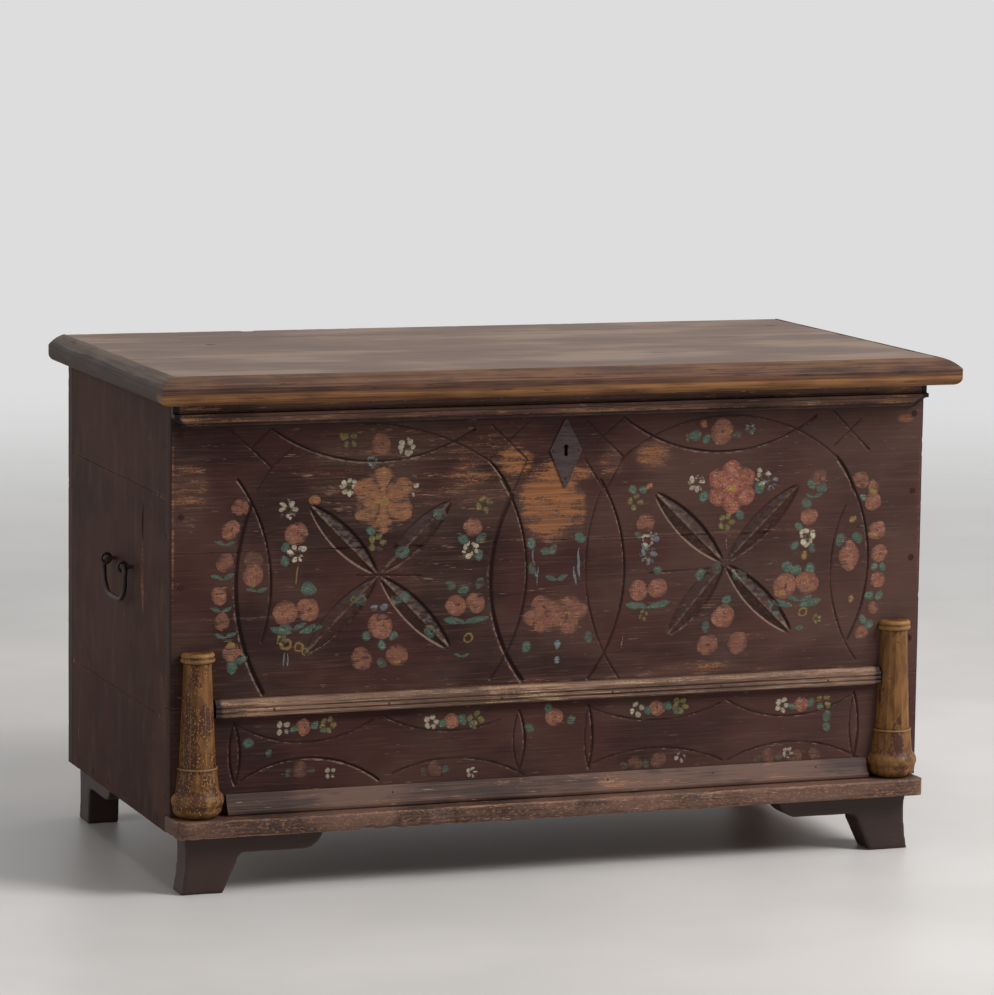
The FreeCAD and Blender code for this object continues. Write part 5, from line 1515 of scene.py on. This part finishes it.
def lid_marks(points, flat, facts):
    """Cracks, knots and the chip in the lid's rear edge."""
    x, deep = flat[:, 0] / MM, (flat[:, 1] - FRONT) / MM
    top = flat[:, 2] > LID_TOP - 0.1 * MM
    below = flat[:, 2] < LID_TOP - 20 * MM
    cut = np.full(len(x), UNCUT)
    for cx, cy, long, wide in LID_FLAWS:
        wander = 1.6 * np.sin((x - cx) / 31 + cx)
        reach = np.sqrt(((x - cx) / long) ** 2 + ((deep - cy - wander) / (wide + 1.5)) ** 2)
        cut = np.minimum(cut, (reach - 1) * (wide + 1.5))
    seams = (np.array([corner.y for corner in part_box("lid_board_middle")]) - FRONT) / MM
    cut = np.minimum(cut, np.abs(deep[:, None] - seams).min(axis=1) * 0.8 - 1.0)
    facts["cut"] = np.where(top, np.clip(cut, INMOST, UNCUT), UNCUT)
    facts["rub"] = facts["rub"] * 0.6
    points[:, 2] -= np.where(top, 1.6 * rise(cut, 0.5, -1.5), 0) * MM
    chip = rise(np.abs(x - CHIP_X + 2 * np.sin(x / 3)), 13, 7) * rise(deep, 578, 590)
    points[:, 1] -= CHIP_DEEP * chip
    cup = 0.35 * lumps(points, (500, 16, 900), 61) + 0.3 * lumps(points, (900, 60, 900), 62)
    points[:, 2] -= np.where(top, 0.65 + cup, 0) * MM
    for side in ("left", "right"):
        low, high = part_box(f"hinge_lid_strap_{side}")
        at_strap = (np.abs(flat[:, 0] - (low.x + high.x) / 2) < 25 * MM) & (flat[:, 1] > low.y - 6 * MM)
        points[:, 2] += np.where(at_strap & below, 0.9, 0) * MM
    return points


class CHEST_OT_lid_boards(bpy.types.Operator):
    """Plane and scour the lid's boards, and make the battens under them"""
    bl_idname = "chest.lid_boards"
    bl_label = "Lid Boards"

    def execute(self, context):
        sizes, colours = context.scene.chest_sizes, context.scene.chest_colours
        for seed, name in enumerate(("lid_board_front", "lid_board_middle", "lid_board_rear")):
            board(name, finish(scoured_pine_lid, colours), sizes, 60 + seed, lid_marks, grid=4 * MM)
        for seed, name in enumerate(("lid_batten_left", "lid_batten_right")):
            board(name, finish(planed_bare_pine, colours), sizes, 70 + seed)
        return {"FINISHED"}


# Where a moulding's section is taken, clear of its pins: along X, and along Y for the lid's ends
RUN_X, RUN_Y = 0.031, 0.033
# How far the cornice is cut back under its ends, and how high that reaches
UNDERCUT, UNDERCUT_HIGH = 17 * MM, 15 * MM
# Over how much of its length a run is drawn in to its mitre
MITRE_REACH = 60 * MM


class CHEST_OT_mouldings(bpy.types.Operator):
    """Run the cornice, the reeded rail and the base moulding"""
    bl_idname = "chest.mouldings"
    bl_label = "Front Mouldings"

    def execute(self, context):
        sizes, colours = context.scene.chest_sizes, context.scene.chest_colours
        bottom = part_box("cornice")[0].z

        def slanted(points):
            lost = UNDERCUT * np.clip((bottom + UNDERCUT_HIGH - points[:, 2]) / UNDERCUT_HIGH, 0, 1)
            return drawn_in(points, HALF_WIDTH - lost)

        moulding("cornice", 0, RUN_X, finish(painted_pine_moulding, colours), sizes, 3, slanted)
        moulding("mid_rail", 0, RUN_X, finish(painted_pine_reeding, colours), sizes, 5)
        moulding("base_moulding", 0, RUN_X, finish(scuffed_pine_skirt, colours), sizes, 7)
        return {"FINISHED"}


class CHEST_OT_lid_mouldings(bpy.types.Operator):
    """Run the lid's nosing along its front and both ends, mitred at the front corners"""
    bl_idname = "chest.lid_mouldings"
    bl_label = "Lid Nosing"

    def execute(self, context):
        sizes, colours = context.scene.chest_sizes, context.scene.chest_colours
        nosing = finish(knocked_pine_nosing, colours)
        low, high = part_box("lid_moulding_front")

        def mitred(points):
            return drawn_in(points, high.x - np.clip(points[:, 1] - low.y, 0, None))

        def end_mitred(points):
            share = np.clip((low.y + MITRE_REACH - points[:, 1]) / MITRE_REACH, 0, 1)
            points[:, 1] += share * (high.x - np.abs(points[:, 0]))
            return points

        moulding("lid_moulding_front", 0, RUN_X, nosing, sizes, 11, mitred)
        moulding("lid_moulding_left", 1, RUN_Y, nosing, sizes, 13, end_mitred)
        moulding("lid_moulding_right", 1, RUN_Y, nosing, sizes, 17, end_mitred)
        return {"FINISHED"}


# The half columns: the chisel's flats around one, the mesh's faces around it, and how far from its
# foot and from its top the shaft begins
COLUMN_FACETS = 7
COLUMN_FACES = 52
SHAFT_FOOT, SHAFT_TOP = 52 * MM, 14 * MM


class CHEST_OT_columns(bpy.types.Operator):
    """Turn the two half columns from their section, with the faint flats of a hand-held chisel"""
    bl_idname = "chest.columns"
    bl_label = "Half Columns"

    def execute(self, context):
        colours = context.scene.chest_colours
        ochre = finish(ochre_distemper_on_turned_pine, colours)
        for side, name in ((-1, "column_left"), (1, "column_right")):
            mesh = self.turned(name, side)
            flaked = np.full(len(mesh.vertices), float(side < 0))
            facts = {"ridge": ridges(mesh, 0.12), "fleck": flaked}
            stand_for(finish_piece(f"turned_{name}", mesh, ochre, facts), name)
        return {"FINISHED"}

    def profile(self, name, axis):
        """The column's outline from foot to top: how far out it stands, and its height."""
        low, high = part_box(name)
        outline = section(name, 0, axis + 0.02 * MM)
        out, up = FRONT - outline[:, 0], outline[:, 1]
        start = int(np.argmin(out + (up - low.z)))
        out, up = np.roll(out, -start), np.roll(up, -start)
        if out[1] < out[-1]:
            out, up = np.roll(out[::-1], 1), np.roll(up[::-1], 1)
        top = int(np.argmax((up > high.z - 0.1 * MM) & (out < 0.3 * MM)))
        line = evenly(np.column_stack([out[:top + 1], up[:top + 1]]), 1.3 * MM, 1, closed=False)
        line[[0, -1], 0] = 0.0
        return line[:, 0], line[:, 1]

    def turned(self, name, side):
        """Half column made by turning its outline, with its flats, dents and plain back."""
        low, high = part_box(name)
        axis = (low.x + high.x) / 2
        out, up = self.profile(name, axis)
        turns = np.radians(np.linspace(-90, 90, COLUMN_FACES + 1))
        flat_turn = math.pi / COLUMN_FACETS
        across = np.mod(turns + math.pi / 2, flat_turn) - flat_turn / 2
        foot, top = low.z + SHAFT_FOOT, high.z - SHAFT_TOP
        shaft = rise(up, foot, foot + 14 * MM) * rise(up, top, top - 10 * MM)
        flats = 1 - math.cos(flat_turn / 2) / np.cos(across)
        radius = out[:, None] * (1 - 0.75 * shaft[:, None] * flats[None, :])
        points = np.stack([axis + radius * np.sin(turns), FRONT - radius * np.cos(turns),
                           np.broadcast_to(up[:, None], radius.shape)], axis=-1).reshape(-1, 3)
        dents = 0.35 * lumps(points, (11, 11, 15), 5 + side)
        dents += 0.8 * rise(lumps(points, (8, 8, 10), 9 + side), 0.5, 0.95)
        middle = np.array([axis, FRONT])
        shrink = 1 - np.maximum(dents + 0.35, 0) * MM / np.maximum(radius.ravel(), 4 * MM)
        points[:, :2] = middle + (points[:, :2] - middle) * shrink[:, None]
        key = np.arange(radius.size).reshape(radius.shape)
        faces = squares(key).tolist()
        faces.append(np.concatenate([key[:, 0], key[-2:0:-1, -1]]).tolist())
        shell = welded([plain_mesh(points, faces)], 0.002 * MM)
        bmesh.ops.recalc_face_normals(shell, faces=shell.faces)
        return baked(shell, name)


class CHEST_OT_feet(bpy.types.Operator):
    """Round and scuff the bracket feet"""
    bl_idname = "chest.feet"
    bl_label = "Bracket Feet"

    def execute(self, context):
        sizes, colours = context.scene.chest_sizes, context.scene.chest_colours
        for name in ("foot_front_left", "foot_front_right", "foot_rear_left", "foot_rear_right"):
            paint = finish(maroon_foot_paint, colours)
            softened(f"worn_{name}", paint, sizes.foot_grid, 0.9, 24, 0.5, name)
        return {"FINISHED"}


def repaint(slot, material):
    """Give the CAD nodes of a slot that still show this material."""
    for name, node in frame["nodes"].items():
        if NODE_SLOTS[name] == slot and not node.hide_render:
            node.data.materials.clear()
            node.data.materials.append(material)


class CHEST_OT_ironwork(bpy.types.Operator):
    """Forge the handles, straps and keyhole plate, and blacken the lock and the nails"""
    bl_idname = "chest.ironwork"
    bl_label = "Ironwork"

    def execute(self, context):
        sizes, colours = context.scene.chest_sizes, context.scene.chest_colours
        grid = sizes.iron_grid
        iron = finish(forged_black_iron, colours)
        for side in ("left", "right"):
            for kind, node, voxel, uneven, lump in (
                    ("bail", "handle_bail", 0.9, 0.7, 9), ("eyes", "handle_eyes", 0.9, 0.5, 8),
                    ("body_strap", "hinge_body_strap", 1.1, 0.5, 12),
                    ("lid_strap", "hinge_lid_strap", 1.1, 0.5, 12)):
                softened(f"forged_{kind}_{side}", iron, grid * voxel, uneven, lump, 0.2, f"{node}_{side}")
        plate = finish(painted_iron_plate, colours)
        softened("painted_keyhole_plate", plate, grid * 0.5, 0.3, 10, 0.1, "keyhole_plate")
        repaint("iron", iron)
        return {"FINISHED"}


class CHEST_OT_pegs(bpy.types.Operator):
    """Give the wooden pegs their painted end grain"""
    bl_idname = "chest.pegs"
    bl_label = "Pegs"

    def execute(self, context):
        colours = context.scene.chest_colours
        repaint("peg", finish(whittled_painted_peg, colours))
        return {"FINISHED"}


# The stage in metres: the floor's edge, where it starts and ends to fade, and each lamp's name,
# place, size and power in watts
FLOOR_RADIUS = 9.0
FADE_START, FADE_END = 1.6, 6.5
LAMPS = (
    ("window_light", (3.8, -3.0, 3.8), 2.2, 350.0), ("fill_light", (-5.5, -1.6, 2.6), 3.0, 60.0),
    ("ceiling_light", (0.3, 0.0, 5.0), 3.6, 80.0))
LAMP_AIM = Vector((0, 0, 0.4))
# The camera's place, its turn, tilt and roll in degrees, its lens in millimetres and its shift
CAMERA_PLACE = (-2.361918, -6.497150, 1.468384)
CAMERA_ANGLES = (20.147, 7.707, 0.755)
CAMERA_LENS, CAMERA_SHIFT = 162.45, (-0.0125, 0.0005)


class CHEST_OT_stage(bpy.types.Operator):
    """Set the chest on a pale studio floor with soft light and the photograph's camera"""
    bl_idname = "chest.stage"
    bl_label = "Studio Stage"

    def execute(self, context):
        colours = context.scene.chest_colours
        scene = context.scene
        self.floor(colours)
        self.sky(scene, colours)
        for lamp in LAMPS:
            self.lamp(*lamp)
        self.camera(scene)
        scene.view_settings.view_transform = "Standard"
        return {"FINISHED"}

    def floor(self, colours):
        """Painted concrete, faintly glossy, that fades out into the background far away."""
        material, tree = blank_material("pale_painted_concrete")
        mottle = where(tree, 0.3, 0.7, streaks(tree, (420, 420, 420), 171.0, 4.0))
        tone = layered(tree, colours.floor, ("#C3C0BC", mottle, 0.5))
        shader = add(tree, "ShaderNodeBsdfPrincipled", {"Base Color": tone, "Roughness": 0.42})
        place = add(tree, PLACE).outputs["Object"]
        distance = add(tree, "ShaderNodeVectorMath", {0: place}, operation="LENGTH").outputs["Value"]
        fade = where(tree, FADE_START, FADE_END, distance)
        clear = add(tree, "ShaderNodeBsdfTransparent")
        mixed = add(tree, "ShaderNodeMixShader", {0: fade, 1: shader, 2: clear})
        add(tree, "ShaderNodeOutputMaterial", {"Surface": mixed})
        shell = bmesh.new()
        bmesh.ops.create_circle(shell, cap_ends=True, segments=96, radius=FLOOR_RADIUS)
        mesh = baked(shell, "studio_floor")
        mesh.materials.append(material)
        linked("studio_floor", mesh)

    def sky(self, scene, colours):
        """Pale background to the camera and to reflections, dimmer light on the object."""
        scene.world = bpy.data.worlds.new("studio")
        scene.world.use_nodes = True
        tree = scene.world.node_tree
        tree.nodes.clear()
        path = add(tree, "ShaderNodeLightPath").outputs
        seen = add(tree, MATH, {0: path["Is Camera Ray"], 1: path["Is Glossy Ray"]}, operation="MAXIMUM")
        seen = add(tree, MATH, {0: seen, 1: path["Is Transmission Ray"]}, operation="MAXIMUM")
        shown = add(tree, "ShaderNodeBackground", {"Color": colours.backdrop, "Strength": 1.0})
        light = add(tree, "ShaderNodeBackground", {"Color": "#F6F6F6", "Strength": 0.12})
        mixed = add(tree, "ShaderNodeMixShader", {0: seen, 1: light, 2: shown})
        add(tree, "ShaderNodeOutputWorld", {"Surface": mixed})

    def lamp(self, name, place, size, power):
        """Large soft lamp that faces the chest."""
        light = bpy.data.lights.new(name, "AREA")
        light.size, light.energy = size, power
        lamp = linked(name, light)
        lamp.location = place
        lamp.rotation_euler = (LAMP_AIM - Vector(place)).to_track_quat("-Z", "Y").to_euler()

    def camera(self, scene):
        """The camera that the chest's straight edges were fitted with."""
        turn, tilt, roll = (math.radians(angle) for angle in CAMERA_ANGLES)
        ahead = Vector((math.sin(turn) * math.cos(tilt), math.cos(turn) * math.cos(tilt), -math.sin(tilt)))
        right = Vector((math.cos(turn), -math.sin(turn), 0.0))
        up = right.cross(ahead)
        across = math.cos(roll) * right + math.sin(roll) * up
        above = -math.sin(roll) * right + math.cos(roll) * up
        data = bpy.data.cameras.new("photo_view")
        data.lens, data.sensor_width = CAMERA_LENS, 36.0
        data.shift_x, data.shift_y = CAMERA_SHIFT
        scene.camera = linked("photo_view", data)
        turned = Matrix((across, above, -ahead)).transposed().to_4x4()
        scene.camera.matrix_world = Matrix.Translation(CAMERA_PLACE) @ turned


OPERATORS = (
    CHEST_OT_front_boards, CHEST_OT_flowers, CHEST_OT_end_boards, CHEST_OT_base_boards, CHEST_OT_lid_boards,
    CHEST_OT_mouldings, CHEST_OT_lid_mouldings, CHEST_OT_columns, CHEST_OT_feet, CHEST_OT_ironwork,
    CHEST_OT_pegs, CHEST_OT_stage,
)


class CHEST_PT_workshop(bpy.types.Panel):
    """Lists the chest's pieces in the order in which they are made"""
    bl_idname = "CHEST_PT_workshop"
    bl_label = "Marriage Chest"
    bl_space_type = "VIEW_3D"
    bl_region_type = "UI"
    bl_category = "Chest"

    def draw(self, context):
        for group in (context.scene.chest_colours, context.scene.chest_sizes):
            for key in group.__annotations__:
                self.layout.prop(group, key)
        for operator in OPERATORS:
            self.layout.operator(operator.bl_idname)


CLASSES = (ChestColours, ChestSizes) + OPERATORS + (CHEST_PT_workshop,)


def register():
    for kind in CLASSES:
        bpy.utils.register_class(kind)
    bpy.types.Scene.chest_colours = PointerProperty(type=ChestColours)
    bpy.types.Scene.chest_sizes = PointerProperty(type=ChestSizes)


def unregister():
    del bpy.types.Scene.chest_sizes
    del bpy.types.Scene.chest_colours
    for kind in reversed(CLASSES):
        bpy.utils.unregister_class(kind)


def main():
    register()
    for operator in OPERATORS:
        family, name = operator.bl_idname.split(".")
        getattr(getattr(bpy.ops, family), name)()


if __name__ == "__main__":
    main()
